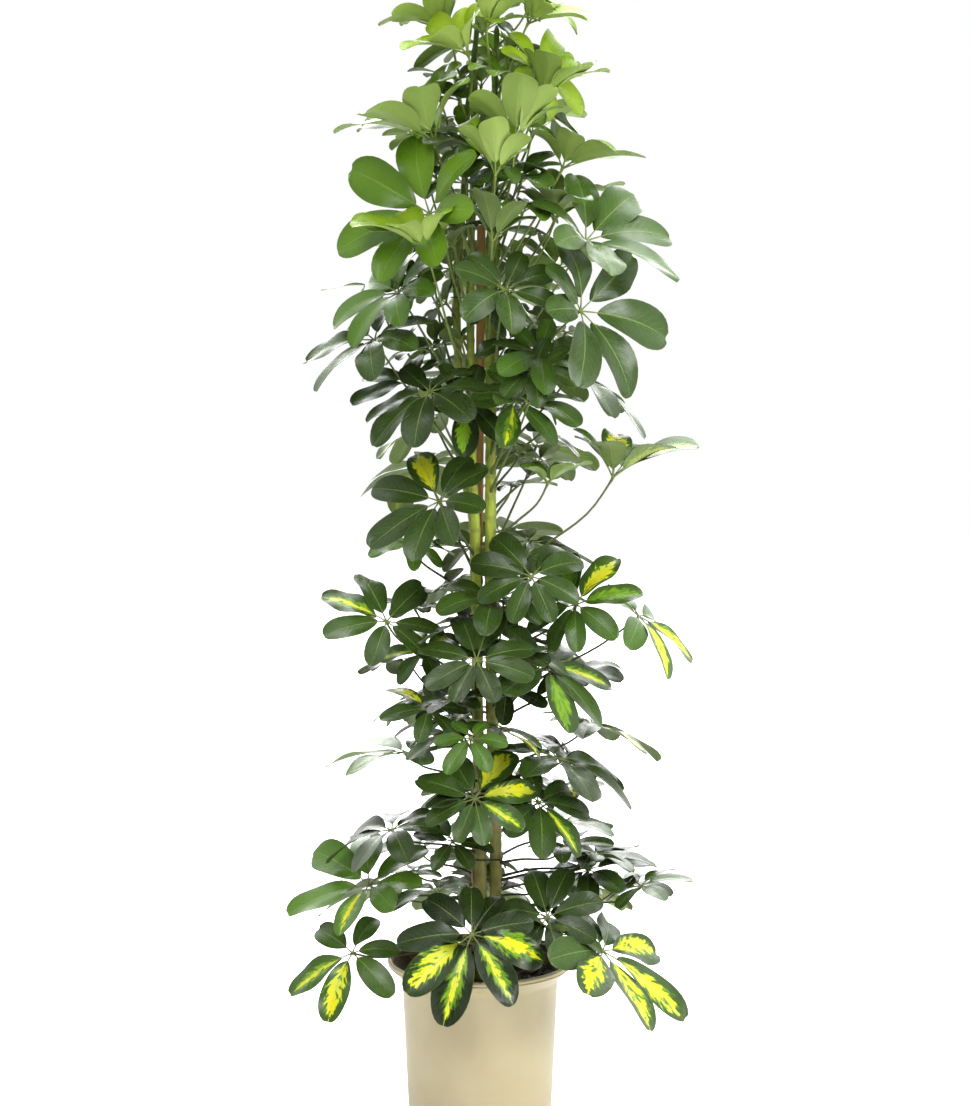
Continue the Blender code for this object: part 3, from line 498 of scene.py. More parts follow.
def ring(centre, side, other, radius, count):
    """Points in a circle round the centre, in the plane of two directions."""
    turns = [2 * math.pi * k / count for k in range(count)]
    return [centre + radius * (math.cos(t) * side + math.sin(t) * other) for t in turns]


def level_ring(height, radius, count):
    """Points in a level circle round the pot's middle line."""
    return ring(height * UP, Vector((1, 0, 0)), Vector((0, 1, 0)), radius, count)


def wrap(lower, upper):
    """Triangles between two rings of the same count."""
    faces = []
    for k, low in enumerate(lower):
        after = (k + 1) % len(lower)
        faces += [(low, lower[after], upper[after]), (low, upper[after], upper[k])]
    return faces


def panels(lower, upper):
    """Four-sided faces between two rings of the same count."""
    count = len(lower)
    return [(lower[k], lower[(k + 1) % count], upper[(k + 1) % count], upper[k]) for k in range(count)]


def bands(count, sides, between=wrap):
    """Faces between each two of a number of rings whose points follow one another."""
    loops = [range(k * sides, (k + 1) * sides) for k in range(count)]
    return [face for lower, upper in zip(loops, loops[1:]) for face in between(lower, upper)]


def capped(rings, first_tip, last_tip, between=wrap):
    """Points and faces of a body of rings that closes in a point at both ends."""
    sides = len(rings[0])
    points = [*(point for one in rings for point in one), first_tip, last_tip]
    faces = bands(len(rings), sides, between)
    last = sides * (len(rings) - 1)
    for k in range(sides):
        after = (k + 1) % sides
        faces += [(after, k, len(points) - 2), (last + k, last + after, len(points) - 1)]
    return points, faces


def tube(path, radii, sides):
    """A closed tube along a path, as points and triangles that face out."""
    points = []
    side = None
    for k, centre in enumerate(path):
        ahead = (path[min(k + 1, len(path) - 1)] - path[max(k - 1, 0)]).normalized()
        if side is None:
            side = ahead.orthogonal()
        side = (side - ahead * side.dot(ahead)).normalized()
        points += ring(centre, side, ahead.cross(side), radii[k], sides)
    faces = bands(len(path), sides)
    last = len(points) - sides
    faces += [(0, k + 1, k) for k in range(1, sides - 1)]
    faces += [(last, last + k, last + k + 1) for k in range(1, sides - 1)]
    return points, faces


def rounded(line, closed, parts):
    """A smooth line through the points, with each stretch in some parts."""
    if closed:
        line = [line[-1], *line, line[0], line[1]]
    else:
        line = [line[0], *line, line[-1]]
    found = []
    for before, first, second, after in zip(line, line[1:], line[2:], line[3:]):
        for part in range(parts):
            t = part / parts
            found.append(0.5 * (2 * first + (second - before) * t
                                + (2 * before - 5 * first + 4 * second - after) * t * t
                                + (3 * first - before - 3 * second + after) * t ** 3))
    return found if closed else [*found, line[-1]]


def pot_radius(height):
    """The outer radius of the pot at a height."""
    if height > POT_HEIGHT - LIP_THICKNESS:
        return RIM_RADIUS
    if height > SHOULDER_FOOT:
        rise = (height - SHOULDER_FOOT) / (POT_HEIGHT - LIP_THICKNESS - SHOULDER_FOOT)
        return WALL_TOP_RADIUS + rise * (RIM_RADIUS - WALL_TOP_RADIUS)
    return BASE_RADIUS + (WALL_TOP_RADIUS - BASE_RADIUS) * height / SHOULDER_FOOT


def stem_point(stem, height):
    """The middle of a stem at a height, on a smooth way through its route."""
    route = stem.route
    height = min(max(height, route[0][0]), route[-1][0])
    k = next(i for i in range(len(route) - 1) if height <= route[i + 1][0])
    low, high = route[k], route[k + 1]
    share = (height - low[0]) / (high[0] - low[0])
    share = share * share * (3 - 2 * share)
    return Vector((
        low[1] + share * (high[1] - low[1]), low[2] + share * (high[2] - low[2]), height
    ))


def stem_radius(height):
    """A stem's radius, which narrows with height."""
    share = share_of(height, SOIL_TOP, STEM_FULL_HEIGHT)
    return STEM_BASE_RADIUS + share * (STEM_TIP_RADIUS - STEM_BASE_RADIUS)


def cane_point(height):
    """The middle of the cane at a height."""
    return CANE_FOOT.lerp(CANE_TOP, (height - CANE_FOOT.z) / (CANE_TOP.z - CANE_FOOT.z))


def stem_tube(stem):
    """The bare stem of the solids as a tube, a clearance wider."""
    foot, tip = stem.route[0][0], stem.route[-1][0]
    count = round((tip - foot) / STEM_RING_SPACING)
    heights = sorted([*(foot + (tip - foot) * k / count for k in range(count + 1)), *TIE_HEIGHTS])
    radii = [stem_radius(z) + CLEARANCE for z in heights]
    return tube([stem_point(stem, z) for z in heights], radii, STEM_SIDES)


def cane_tube():
    """The cane of the solids with the raised rings of its nodes, a clearance wider."""
    places = [(0.0, 0.0)]
    for node in CANE_NODES:
        places += [(node - CANE_NODE_HALF, 0.0), (node, CANE_NODE_RISE), (node + CANE_NODE_HALF, 0.0)]
    places.append((CANE_LENGTH, 0.0))
    path = [CANE_FOOT.lerp(CANE_TOP, far / CANE_LENGTH) for far, _ in places]
    return tube(path, [CANE_RADIUS + rise + CLEARANCE for _, rise in places], STEM_SIDES)


def tie_loop(height):
    """The way of a tie's wire round the stems and the cane, taut between them."""
    rounds = [(stem_point(stem, height), stem_radius(height)) for stem in STEMS]
    rounds.append((cane_point(height), CANE_RADIUS))
    loop = []
    for k in range(TIE_POINTS):
        way = heading(360 * k / TIE_POINTS)
        middle, radius = max(rounds, key=lambda one: one[0].dot(way) + one[1])
        loop.append(middle + way * (radius + TIE_WIRE + TIE_SLACK))
    return loop


def tie_ring(height):
    """The tie's wire in the solids, a closed ring of four sides."""
    loop = tie_loop(height)
    points = []
    for k, middle in enumerate(loop):
        ahead = (loop[(k + 1) % TIE_POINTS] - loop[k - 1]).normalized()
        points += ring(middle, ahead.cross(UP), UP, TIE_WIRE, 4)
    faces = []
    for k in range(TIE_POINTS):
        after = (k + 1) % TIE_POINTS
        faces += wrap(range(4 * k + 3, 4 * k - 1, -1), range(4 * after + 3, 4 * after - 1, -1))
    return points, faces


class Frame(NamedTuple):
    """A leaf's hub and its three directions: out of the upper side, downhill and across."""

    hub: Vector
    normal: Vector
    downhill: Vector
    across: Vector


def frame_of(leaf):
    """Where a leaf's hub is and how its plane lies."""
    hub = Vector((PLANT_X, 0, leaf.height)) + leaf.out * heading(leaf.azimuth)
    facing = heading(leaf.face)
    lean = math.radians(leaf.tilt)
    normal = facing * math.sin(lean) + UP * math.cos(lean)
    downhill = facing * math.cos(lean) - UP * math.sin(lean)
    return Frame(hub, normal, downhill, normal.cross(downhill))


def petiole_path(stem, leaf, move):
    """The petiole's middle line from inside the stem up to the hub, which it meets from below."""
    frame = frame_of(leaf)
    rise = leaf.out * max(RISE_LEAST, RISE_GAIN * leaf.height - RISE_LOSS)
    highest = stem.route[-1][0] - ROOT_BELOW_TIP
    root = stem_point(stem, min(max(leaf.height - rise, LOWEST_ROOT) + move, highest))
    span = (frame.hub - root).length
    climb = LEAVE_CLIMB + LEAVE_CLIMB_GAIN * leaf.height
    leave = root + span * (LEAVE_OUT * heading(leaf.azimuth) + climb * UP)
    arrive = frame.hub - frame.normal * (ARRIVE_BELOW * span)
    end = frame.hub - frame.normal * HUB_HALF
    path = []
    for t in (0.0, 1 / 3, 2 / 3, 1.0):
        weights = ((1 - t) ** 3, 3 * t * (1 - t) ** 2, 3 * t * t * (1 - t), t ** 3)
        path.append(sum((w * p for w, p in zip(weights, (root, leave, arrive, end))), Vector()))
    return path


class Leaflet(NamedTuple):
    """One leaflet's own shape: its angle from downhill, length, lift, droop and twist."""

    angle: float
    length: float
    lift: float
    droop: float
    twist: float


def leaflets_of(stem_number, leaf_number, leaf):
    """The leaflets round a hub, longest downhill, each a little different."""
    draw = random.Random(100 * stem_number + leaf_number)
    leaf_droop = draw.uniform(*LEAF_DROOP)
    count = len(leaf.marks)
    made = []
    for k in range(count):
        angle = 360 * (k + 0.5) / count - 180 + draw.uniform(-LEAFLET_TURN, LEAFLET_TURN)
        even = (1 + SHORTEST_LEAFLET + (1 - SHORTEST_LEAFLET) * math.cos(math.radians(angle))) / 2
        length = leaf.reach * even * draw.uniform(*LEAFLET_REACH)
        droop = leaf_droop + draw.uniform(-LEAFLET_DROOP, LEAFLET_DROOP)
        twist = draw.uniform(-LEAFLET_TWIST, LEAFLET_TWIST)
        made.append(Leaflet(angle + leaf.spin, length, LIFT + leaf.cup, droop, twist))
    return made


def bent(leaflet, bend):
    """The leaflet turned, drooped and shortened."""
    turn, droop, share = bend
    return leaflet._replace(
        angle=leaflet.angle + turn, droop=leaflet.droop + droop, length=leaflet.length * share
    )


def blade_spine(frame, leaflet, far):
    """The leaflet's middle at a share of its length, with its side and upward directions."""
    turn = math.radians(leaflet.angle)
    along = frame.downhill * math.cos(turn) + frame.across * math.sin(turn)
    bend = BEND + ARCH * (leaflet.lift - LIFT) + leaflet.droop
    start, halfway, end = (math.hypot(1, leaflet.lift - 2 * bend * part) for part in (0, 0.5, 1))
    arc = (start + 4 * halfway + end) / 6
    middle = (along * far + frame.normal * (leaflet.lift * far - bend * far * far)) / arc
    middle = frame.hub + leaflet.length * (middle - SAG * far * far * UP)
    tangent = (along + frame.normal * (leaflet.lift - 2 * bend * far)) / arc
    tangent = (tangent - 2 * SAG * far * UP).normalized()
    side = tangent.cross(frame.normal).normalized()
    side = Matrix.Rotation(math.radians(leaflet.twist * far), 3, tangent) @ side
    return middle, side, side.cross(tangent)


def blade_shell(frame, leaflet):
    """The leaflet of the solids outside its hub, a clearance larger all round."""
    points = []
    for k, (far, width) in enumerate(zip(STATIONS, WIDTHS)):
        middle, side, up = blade_spine(frame, leaflet, far)
        half = leaflet.length * LEAFLET_WIDTH * width / 2 + CLEARANCE
        edge = FOLD * half * up
        right, left = middle + side * half + edge, middle - side * half + edge
        if k == len(THICKNESS):
            points += [right, left]
            continue
        lift = up * (THICKNESS[k] / 2 + CLEARANCE)
        points += [right, middle + lift, left, middle - lift]
    faces = wrap(range(4), range(4, 8)) + [(0, 1, 2), (0, 2, 3)]
    faces += [(4, 5, 8), (5, 9, 8), (5, 6, 9), (4, 8, 7), (7, 8, 9), (7, 9, 6)]
    return points, faces


def over_pot(hub, points):
    """Whether no edge of the leaflet goes into the pot, or below its rim over the soil."""
    neck_right, _, neck_left, _, right, _, left, under, tip_right, tip_left = points
    edges = ((hub, neck_right), (neck_right, right), (right, tip_right), (neck_left, left),
             (left, tip_left), (neck_left, under), (under, tip_left))
    for first, second in edges:
        for step in range(EDGE_CHECKS + 1):
            spot = first.lerp(second, step / EDGE_CHECKS)
            in_reach = math.hypot(spot.x, spot.y) < pot_radius(spot.z) + POT_CLEARANCE
            if in_reach and spot.z < POT_HEIGHT + POT_CLEARANCE:
                return False
    return True


class Obstacle(NamedTuple):
    """A solid that others keep clear of: the stem and leaf that it belongs to, and its surface."""

    owner: int
    leaf: Leaf
    is_stalk: bool
    centre: Vector
    reach: float
    tree: BVHTree


def obstacle(owner, points, faces, leaf=None, is_stalk=False):
    """An obstacle from a solid's points and faces."""
    centre = sum(points, Vector()) / len(points)
    reach = max((p - centre).length for p in points)
    return Obstacle(owner, leaf, is_stalk, centre, reach, BVHTree.FromPolygons(points, faces))


def petiole_obstacle(owner, leaf, path):
    """A petiole as an obstacle, a clearance wider."""
    radii = [radius + CLEARANCE for radius in PETIOLE_RADIUS]
    return obstacle(owner, *tube(path, radii, 3), leaf=leaf, is_stalk=True)


def bare_obstacles():
    """The cane, the ties and the bare stems as obstacles."""
    placed = [obstacle(0, *cane_tube())]
    placed += [obstacle(0, *tie_ring(height)) for height in TIE_HEIGHTS]
    return placed + [obstacle(number, *stem_tube(stem)) for number, stem in enumerate(STEMS, 1)]


def crossed(shape, others):
    """The owners of those obstacles that the shape crosses. A leaf's own stalks meet at its hub."""
    owners = set()
    for other in others:
        if shape.leaf == other.leaf and (shape.is_stalk or other.is_stalk):
            continue
        near = (shape.centre - other.centre).length < shape.reach + other.reach
        if near and shape.tree.overlap(other.tree):
            owners.add(other.owner)
    return owners


class Grown(NamedTuple):
    """A leaf as it stands: its stem's number, its petiole's middle line and its leaflets."""

    number: int
    leaf: Leaf
    path: list
    leaflets: list


def grown_leaves():
    """Every leaf with its petiole and the leaflets that clear what stands round them.

    Petioles come first. Then each leaflet takes the first bend that crosses nothing, or else
    the first that crosses only its own stem's leaves, into which it is fused.
    """
    placed = bare_obstacles()
    grown = []
    for number, stem in enumerate(STEMS, 1):
        for k, leaf in enumerate(stem.leaves):
            path, shape = fitted_petiole(number, stem, leaf, placed)
            placed.append(shape)
            grown.append(Grown(number, leaf, path, leaflets_of(number, k, leaf)))
    return [one._replace(leaflets=fitted(one.number, one.leaf, one.leaflets, placed)) for one in grown]


def fitted_petiole(number, stem, leaf, placed):
    """The petiole from the first root that keeps it clear of the other stems and their petioles."""
    for move in ROOT_MOVES:
        path = petiole_path(stem, leaf, move)
        shape = petiole_obstacle(number, leaf, path)
        if not crossed(shape, placed) - {number}:
            break
    return path, shape


def fitted(number, leaf, leaflets, placed):
    """The leaflets of one leaf, bent clear, and added to what is placed."""
    frame = frame_of(leaf)
    kept = []
    for leaflet in leaflets:
        fused = None
        for bend in BENDS:
            trial = bent(leaflet, bend)
            points, faces = blade_shell(frame, trial)
            if not over_pot(frame.hub, points):
                continue
            blade = obstacle(number, points, faces, leaf=leaf)
            neck = (points[1] + points[3]) / 2
            radii = [HUB_RADIUS, PETIOLE_RADIUS[0]]
            stalk = obstacle(number, *tube([frame.hub, neck], radii, 4), leaf=leaf, is_stalk=True)
            owners = crossed(blade, placed) | crossed(stalk, placed)
            if not owners:
                break
            if owners == {number} and fused is None:
                fused = (trial, blade, stalk)
        else:
            if fused is None:
                continue
            trial, blade, stalk = fused
        kept.append(trial)
        placed += [blade, stalk]
    return kept


def small_leaf(draw, low, high, outs, azimuths, tilts):
    """One small leaf at random in a stretch of height. Its leaflets rise more the higher it is."""
    height = draw.uniform(low, high)
    azimuth = draw.uniform(*azimuths)
    share = share_of(height, *FILL_YOUNG)
    return Leaf(
        height=height, azimuth=azimuth, out=draw.uniform(*outs),
        face=azimuth + draw.uniform(-FILL_FACE, FILL_FACE), tilt=draw.uniform(*tilts),
        reach=draw.uniform(*FILL_REACH), marks="." * draw.choice(FILL_LEAFLETS), tone=0.0,
        cup=share * draw.uniform(*FILL_CUP_YOUNG) + (1 - share) * draw.uniform(*FILL_CUP_OLD),
        spin=draw.uniform(-FILL_SPIN, FILL_SPIN),
    )


def hides_stems(leaf):
    """Whether a leaf stands in front of a stretch where the stems show."""
    hub = frame_of(leaf).hub
    bare = any(start < leaf.height < end for start, end in BARE_STRETCHES)
    return bare and hub.y < 0 and abs(hub.x - PLANT_X) < BARE_HALF_WIDTH


def nearest_stem(leaf):
    """The number and the stem that stands nearest to a leaf, of those that reach its height."""
    hub = frame_of(leaf).hub
    reaching = [(number, stem) for number, stem in enumerate(STEMS, 1)
                if stem.route[-1][0] > leaf.height]
    return min(reaching, key=lambda pair: (stem_point(pair[1], leaf.height) - hub).length)


def fill_leaves(grown):
    """The small leaves close to the stems, each kept where most of its leaflets stand clear.

    Each counts as an owner of its own, below zero, so its leaflets are fused into nothing.
    """
    draw = random.Random(FILL_SEED)
    placed = bare_obstacles()
    for one in grown:
        frame = frame_of(one.leaf)
        placed.append(petiole_obstacle(one.number, one.leaf, one.path))
        placed += [obstacle(one.number, *blade_shell(frame, leaflet), leaf=one.leaf)
                   for leaflet in one.leaflets]
    found = []
    for low, high, count, *ranges in FILL_ZONES:
        for _ in range(count):
            leaf = small_leaf(draw, low, high, *ranges)
            number, stem = nearest_stem(leaf)
            if hides_stems(leaf):
                continue
            path, petiole = fitted_petiole(number, stem, leaf, placed)
            if crossed(petiole, [other for other in placed if other.leaf is not None]):
                continue
            before = len(placed)
            leaflets = leaflets_of(FILL_STEM, len(found), leaf)
            leaflets = fitted(-1 - len(found), leaf, leaflets, placed)
            if len(leaflets) < FILL_FEWEST:
                del placed[before:]
                continue
            placed.append(petiole)
            found.append(Grown(number, leaf, path, leaflets))
    return found


def coloured(grown):
    """The small leaves with tones and marks: young green at the top, old dark green lower down."""
    draw = random.Random(FILL_SEED + 1)
    found = []
    for one in grown:
        share = share_of(one.leaf.height, *FILL_LIGHT)
        tone = FILL_TONES[0] + (FILL_TONES[1] - FILL_TONES[0]) * share + draw.uniform(*FILL_TONE_SPREAD)
        if draw.random() < FILL_SHADED_SHARE:
            tone -= FILL_SHADED * share
        marks = list(one.leaf.marks)
        if one.leaf.height < FILL_MARKED_BELOW and draw.random() < FILL_MARKED_SHARE:
            marks[draw.randrange(len(marks))] = draw.choice("swl")
        found.append(one._replace(leaf=one.leaf._replace(tone=tone, marks="".join(marks))))
    return found


class Value:
    """What a node puts out: a number, with its arithmetic, or a vector or a colour."""

    def __init__(self, nodes, socket):
        self.nodes = nodes
        self.socket = socket

    def math(self, operation, *others):
        """One arithmetic operation on this number and others."""
        return self.nodes.out("Math", self, *others, operation=operation)

    def __add__(self, other):
        return self.math("ADD", other)

    def __sub__(self, other):
        return self.math("SUBTRACT", other)

    def __rsub__(self, other):
        return self.nodes.out("Math", other, self, operation="SUBTRACT")

    def __mul__(self, other):
        return self.math("MULTIPLY", other)

    def __abs__(self):
        return self.math("ABSOLUTE")


class Nodes:
    """A node tree, with short calls for the nodes that it is made from."""

    def __init__(self, tree):
        self.tree = tree

    def put(self, socket, value):
        """Sets a socket to a number, a vector or a colour, or links it to what a node puts out."""
        if isinstance(value, Value):
            self.tree.links.new(value.socket, socket)
        elif socket.type == "RGBA":
            socket.default_value = (*value, 1.0)
        else:
            socket.default_value = value

    def new(self, kind, *values, **settings):
        """A new node with its settings and its first sockets."""
        node = self.tree.nodes.new(f"ShaderNode{kind}")
        for name, setting in settings.items():
            setattr(node, name, setting)
        for socket, value in zip(node.inputs, values):
            self.put(socket, value)
        return node

    def out(self, kind, *values, output=0, **settings):
        """What a new node puts out."""
        return Value(self, self.new(kind, *values, **settings).outputs[output])

    def parts(self, vector):
        """The three parts of a vector."""
        return [Value(self, socket) for socket in self.new("SeparateXYZ", vector).outputs]

    def values(self, name):
        """The three parts of a value that the mesh carries at its points."""
        return self.parts(self.out("Attribute", output="Vector", attribute_name=name))

    def place(self):
        """The point's place on the plant, in metres."""
        return self.out("TexCoord", output="Object")

    def vector(self, x, y, z):
        """A vector from three values."""
        return self.out("CombineXYZ", x, y, z)

    def step(self, value, low, high, bottom=0.0, top=1.0):
        """A soft step from bottom to top as the value goes from low to high."""
        return self.out("MapRange", value, low, high, bottom, top, interpolation_type="SMOOTHSTEP")

    def noise(self, vector, scale, detail=3.0, roughness=0.5):
        """Cloudy noise from 0 to 1. The texture's second socket, a fourth direction, is not used."""
        return self.out("TexNoise", vector, 0.0, scale, detail, roughness)

    def grain(self, scale, detail=3.0, roughness=0.5):
        """Noise on the point's place, with its own scale each way."""
        stretched = self.out("VectorMath", self.place(), scale, operation="MULTIPLY")
        return self.noise(stretched, 1.0, detail, roughness)

    def mix(self, share, first, second):
        """A blend of two colours by a share."""
        node = self.new("Mix", share, data_type="RGBA")
        colours = [socket for socket in node.inputs if socket.type == "RGBA"]
        self.put(colours[0], first)
        self.put(colours[1], second)
        return Value(self, next(socket for socket in node.outputs if socket.type == "RGBA"))

    def ramp(self, value, stops):
        """A colour from a value, by stops of (place, colour)."""
        node = self.new("ValToRGB", value)
        while len(node.color_ramp.elements) < len(stops):
            node.color_ramp.elements.new(0.5)
        for element, (place, colour) in zip(node.color_ramp.elements, stops):
            element.position = place
            element.color = (*colour, 1.0)
        return Value(self, node.outputs[0])


class Paint(Nodes):
    """A material and its shader."""

    def __init__(self, name):
        self.material = bpy.data.materials.new(name)
        self.material.use_nodes = True
        super().__init__(self.material.node_tree)
        self.shader = self.tree.nodes["Principled BSDF"]

    def bump(self, height, distance, strength):
        """Raises the surface by a height times a distance in metres."""
        node = self.new("Bump", strength, distance)
        self.put(node.inputs["Height"], height)
        self.put(self.shader.inputs["Normal"], Value(self, node.outputs[0]))

    def finish(self, colour, roughness, **others):
        """Sets or connects the colour, the roughness and others, and gives the material."""
        self.put(self.shader.inputs["Base Color"], colour)
        self.put(self.shader.inputs["Roughness"], roughness)
        for name, value in others.items():
            self.put(self.shader.inputs[name.replace("_", " ")], value)
        return self.material


class LeafPaint(Paint):
    """Glossy leaves: green by age, lime and yellow middles with ragged edges, ribs and veins."""

    def __init__(self):
        super().__init__("umbrella_leaf")
        self.across, self.along, self.seed = self.values("blade")
        self.tone, self.yellow, self.lime = self.values("look")
        self.under = self.values("under")[0]
        self.wide = abs(self.across)
        self.own = self.seed * PATTERN_SPREAD
        self.slant = self.along - self.wide * VEIN_SLANT
        self.spot = self.vector(self.across * PATTERN_WIDTH, self.along, self.own)
        self.cloud = self.noise(self.spot, 2.2, 1.0)

    def green(self):
        """The leaf's green by its age, clouded and flecked, and darker towards its margin."""
        green = self.ramp(self.tone, LEAF_GREENS)
        green = self.mix(self.step(self.cloud, 0.35, 0.72, 0.0, 0.35), green,
                         self.mix(self.tone * 0.7, green, LEAF_CLOUD))
        margin = self.step(self.wide, 0.25, 1.0) * 0.45
        green = self.mix(margin, green, self.mix(0.5, green, LEAF_MARGIN))
        flecks = self.step(self.noise(self.spot, 60.0, 1.0), 0.62, 0.80, 0.0, 0.06)
        return self.mix(flecks, green, LEAF_FLECK)

    def marked(self, green):
        """The green with its lime and yellow middle, ragged along the veins and with gaps in the yellow."""
        reach = (self.along * (MARKS_END - self.along)).math("MAXIMUM", 0.0).math("SQRT") * 2.1
        streaks = self.vector(self.across * 1.3, self.slant * 5.0, self.own)
        ragged = (self.noise(streaks, 2.2, 3.0) - 0.5) * 2.0
        middle = ((self.seed * 7.13).math("FRACT") - 0.5) * 0.42
        off_middle = abs(self.across - middle)
        is_lime = self.step(self.lime * reach + ragged * self.lime - off_middle, -0.05, 0.16)
        in_yellow = self.step(self.yellow * reach + ragged * self.yellow - off_middle, -0.01, 0.05)
        islands = self.noise(self.vector(self.across * 0.8, self.slant * 2.6, self.own), 3.4, 3.0)
        is_yellow = in_yellow * (self.step(self.yellow, 0.05, 0.2) * self.step(islands, 0.36, 0.44))
        lime = self.mix(self.step(islands, 0.35, 0.60), *LEAF_LIMES)
        yellow = self.mix(self.step(self.cloud, 0.4, 0.7), *LEAF_YELLOWS)
        return self.mix(is_yellow, self.mix(is_lime * 0.80, green, lime), yellow)

    def sage(self, colour, green):
        """The duller grey-green of the lower side, made paler on young leaves as painted light that stands
        for light shining through the leaf and bounced up from below.
        """
        sage = self.mix(0.72, colour, self.mix(self.tone, *LEAF_SAGES_AND_GLOW))
        return self.mix(self.step(self.cloud, 0.30, 0.70, 0.0, 0.30), sage, self.mix(0.5, sage, green))

    def made(self):
        """The whole material."""
        green = self.green()
        colour = self.marked(green)
        # The lower side takes the grey-green with its painted light shining through.
        colour = self.mix(self.under, colour, self.sage(colour, green))
        rib_half = self.step(self.along, 0.0, 1.0, 0.075, 0.018)
        rib = 1.0 - self.step(self.wide, rib_half * 0.5, rib_half)
        from_vein = abs((self.slant * VEINS).math("FRACT") - 0.5)
        vein = self.step(from_vein, 0.42, 0.50) * self.step(self.wide, 0.95, 0.30)
        pale = self.mix(0.55, colour, LEAF_RIB)
        colour = self.mix(rib * 0.70, colour, pale)
        colour = self.mix(vein * 0.24, colour, pale)
        colour = self.mix(self.step(self.wide, 0.955, 1.0) * 0.35, colour, LEAF_RIM)
        quilt = self.step(from_vein, 0.50, 0.10) * self.step(self.wide, 1.0, 0.4)
        self.bump(rib * -0.8 + quilt * 0.35 + self.cloud * 7.0, 0.0005, 0.30)
        gloss = self.step(self.noise(self.spot, 5.0, 2.0), 0.35, 0.70, 0.27, 0.40)
        return self.finish(colour, gloss + self.under * 0.22, Specular_IOR_Level=0.35)


def stalk_paint():
    """Petioles and hubs: yellow-green near the top, dark grey-green lower down, with brown patches."""
    paint = Paint("leaf_stalk")
    tone, lit, _ = paint.values("look")
    brown = paint.step(paint.noise(paint.place(), 90.0), 0.4, 0.7, 0.0, 0.45)
    colour = paint.mix(brown, paint.ramp(tone, STALK_GREENS), STALK_BROWN)
    colour = paint.mix(lit, colour, STALK_FRESH)
    lines = paint.grain((700.0, 700.0, 160.0), 2.0)
    paint.bump(lines, 0.0003, 0.5)
    return paint.finish(colour, paint.step(lines, 0.3, 0.7, 0.38, 0.55))


def bark_paint():
    """Stems: corky tan with green patches at the foot, yellow-green further up and green at the top."""
    paint = Paint("stem_bark")
    _, _, height = paint.parts(paint.place())
    scar, _, _ = paint.values("look")
    patches = paint.grain((60.0, 60.0, 16.0), 4.0, 0.6)
    old = paint.mix(paint.step(patches, 0.38, 0.66), *BARK_OLD)
    young = paint.mix(paint.step(patches, 0.35, 0.7), *BARK_YOUNG)
    top = paint.mix(paint.step(patches, 0.35, 0.7), *BARK_TOP)
    colour = paint.mix(paint.step(height, 0.42, 0.72), old, young)
    colour = paint.mix(paint.step(height, 0.90, 1.20), colour, top)
    threads = paint.grain((900.0, 900.0, 60.0), 3.0, 0.6)
    colour = paint.mix(paint.step(threads, 0.45, 0.70, 0.0, 0.6), colour, BARK_THREAD)
    pore = paint.step(paint.grain((420.0, 420.0, 900.0), 1.0), 0.66, 0.72)
    colour = paint.mix(pore * 0.5, colour, BARK_PORE)
    colour = paint.mix(scar * 0.55, colour, BARK_SCAR)
    paint.bump(threads * 0.8 + pore * 0.7, 0.0006, 0.6)
    return paint.finish(colour, paint.step(threads, 0.3, 0.7, 0.45, 0.7))


def bamboo_paint():
    """The cane: orange-brown bamboo with long fibres, darker at its nodes."""
    paint = Paint("bamboo_cane")
    node, _, _ = paint.values("look")
    fibres = paint.grain((900.0, 900.0, 14.0), 4.0, 0.6)
    patches = paint.grain((40.0, 40.0, 9.0))
    colour = paint.mix(paint.step(fibres, 0.35, 0.7), *CANE_FIBRES)
    colour = paint.mix(paint.step(patches, 0.45, 0.7, 0.0, 0.6), colour, CANE_PATCH)
    colour = paint.mix(node * 0.7, colour, CANE_RING)
    paint.bump(fibres, 0.0004, 0.5)
    return paint.finish(colour, paint.step(patches, 0.3, 0.7, 0.35, 0.55))


def wire_paint():
    """The ties: dark plastic-coated wire with paler scuffs."""
    paint = Paint("coated_wire")
    scuffs = paint.noise(paint.place(), 700.0, 4.0, 0.6)
    paint.bump(paint.noise(paint.place(), 1500.0, 2.0), 0.0001, 0.6)
    return paint.finish(paint.mix(paint.step(scuffs, 0.5, 0.75), *WIRES),
                        paint.step(scuffs, 0.3, 0.7, 0.35, 0.6))


def soil_paint():
    """Potting mix: nearly black, damp in patches, with brown grains."""
    paint = Paint("potting_mix")
    place = paint.place()
    grains = paint.noise(place, 520.0, 5.0, 0.7)
    patches = paint.noise(place, 45.0)
    colour = paint.mix(paint.step(grains, 0.42, 0.72), *SOILS)
    colour = paint.mix(paint.step(patches, 0.4, 0.65, 0.0, 0.6), colour, SOIL_DAMP)
    paint.bump(grains + paint.noise(place, 170.0), 0.0022, 0.8)
    return paint.finish(colour, paint.step(patches, 0.35, 0.65, 0.95, 0.72))


def crumb_paint():
    """Crumbs of bark in the soil, from black to orange-brown."""
    paint = Paint("bark_crumbs")
    shade, _, _ = paint.values("look")
    grain = paint.grain((300.0, 900.0, 300.0), 4.0, 0.6)
    colour = paint.mix(paint.step(grain, 0.4, 0.7, 0.0, 0.55), paint.ramp(shade, CRUMB_BROWNS), CRUMB_GRAIN)
    paint.bump(grain, 0.0008, 0.8)
    return paint.finish(colour, paint.step(grain, 0.3, 0.7, 0.65, 0.9))


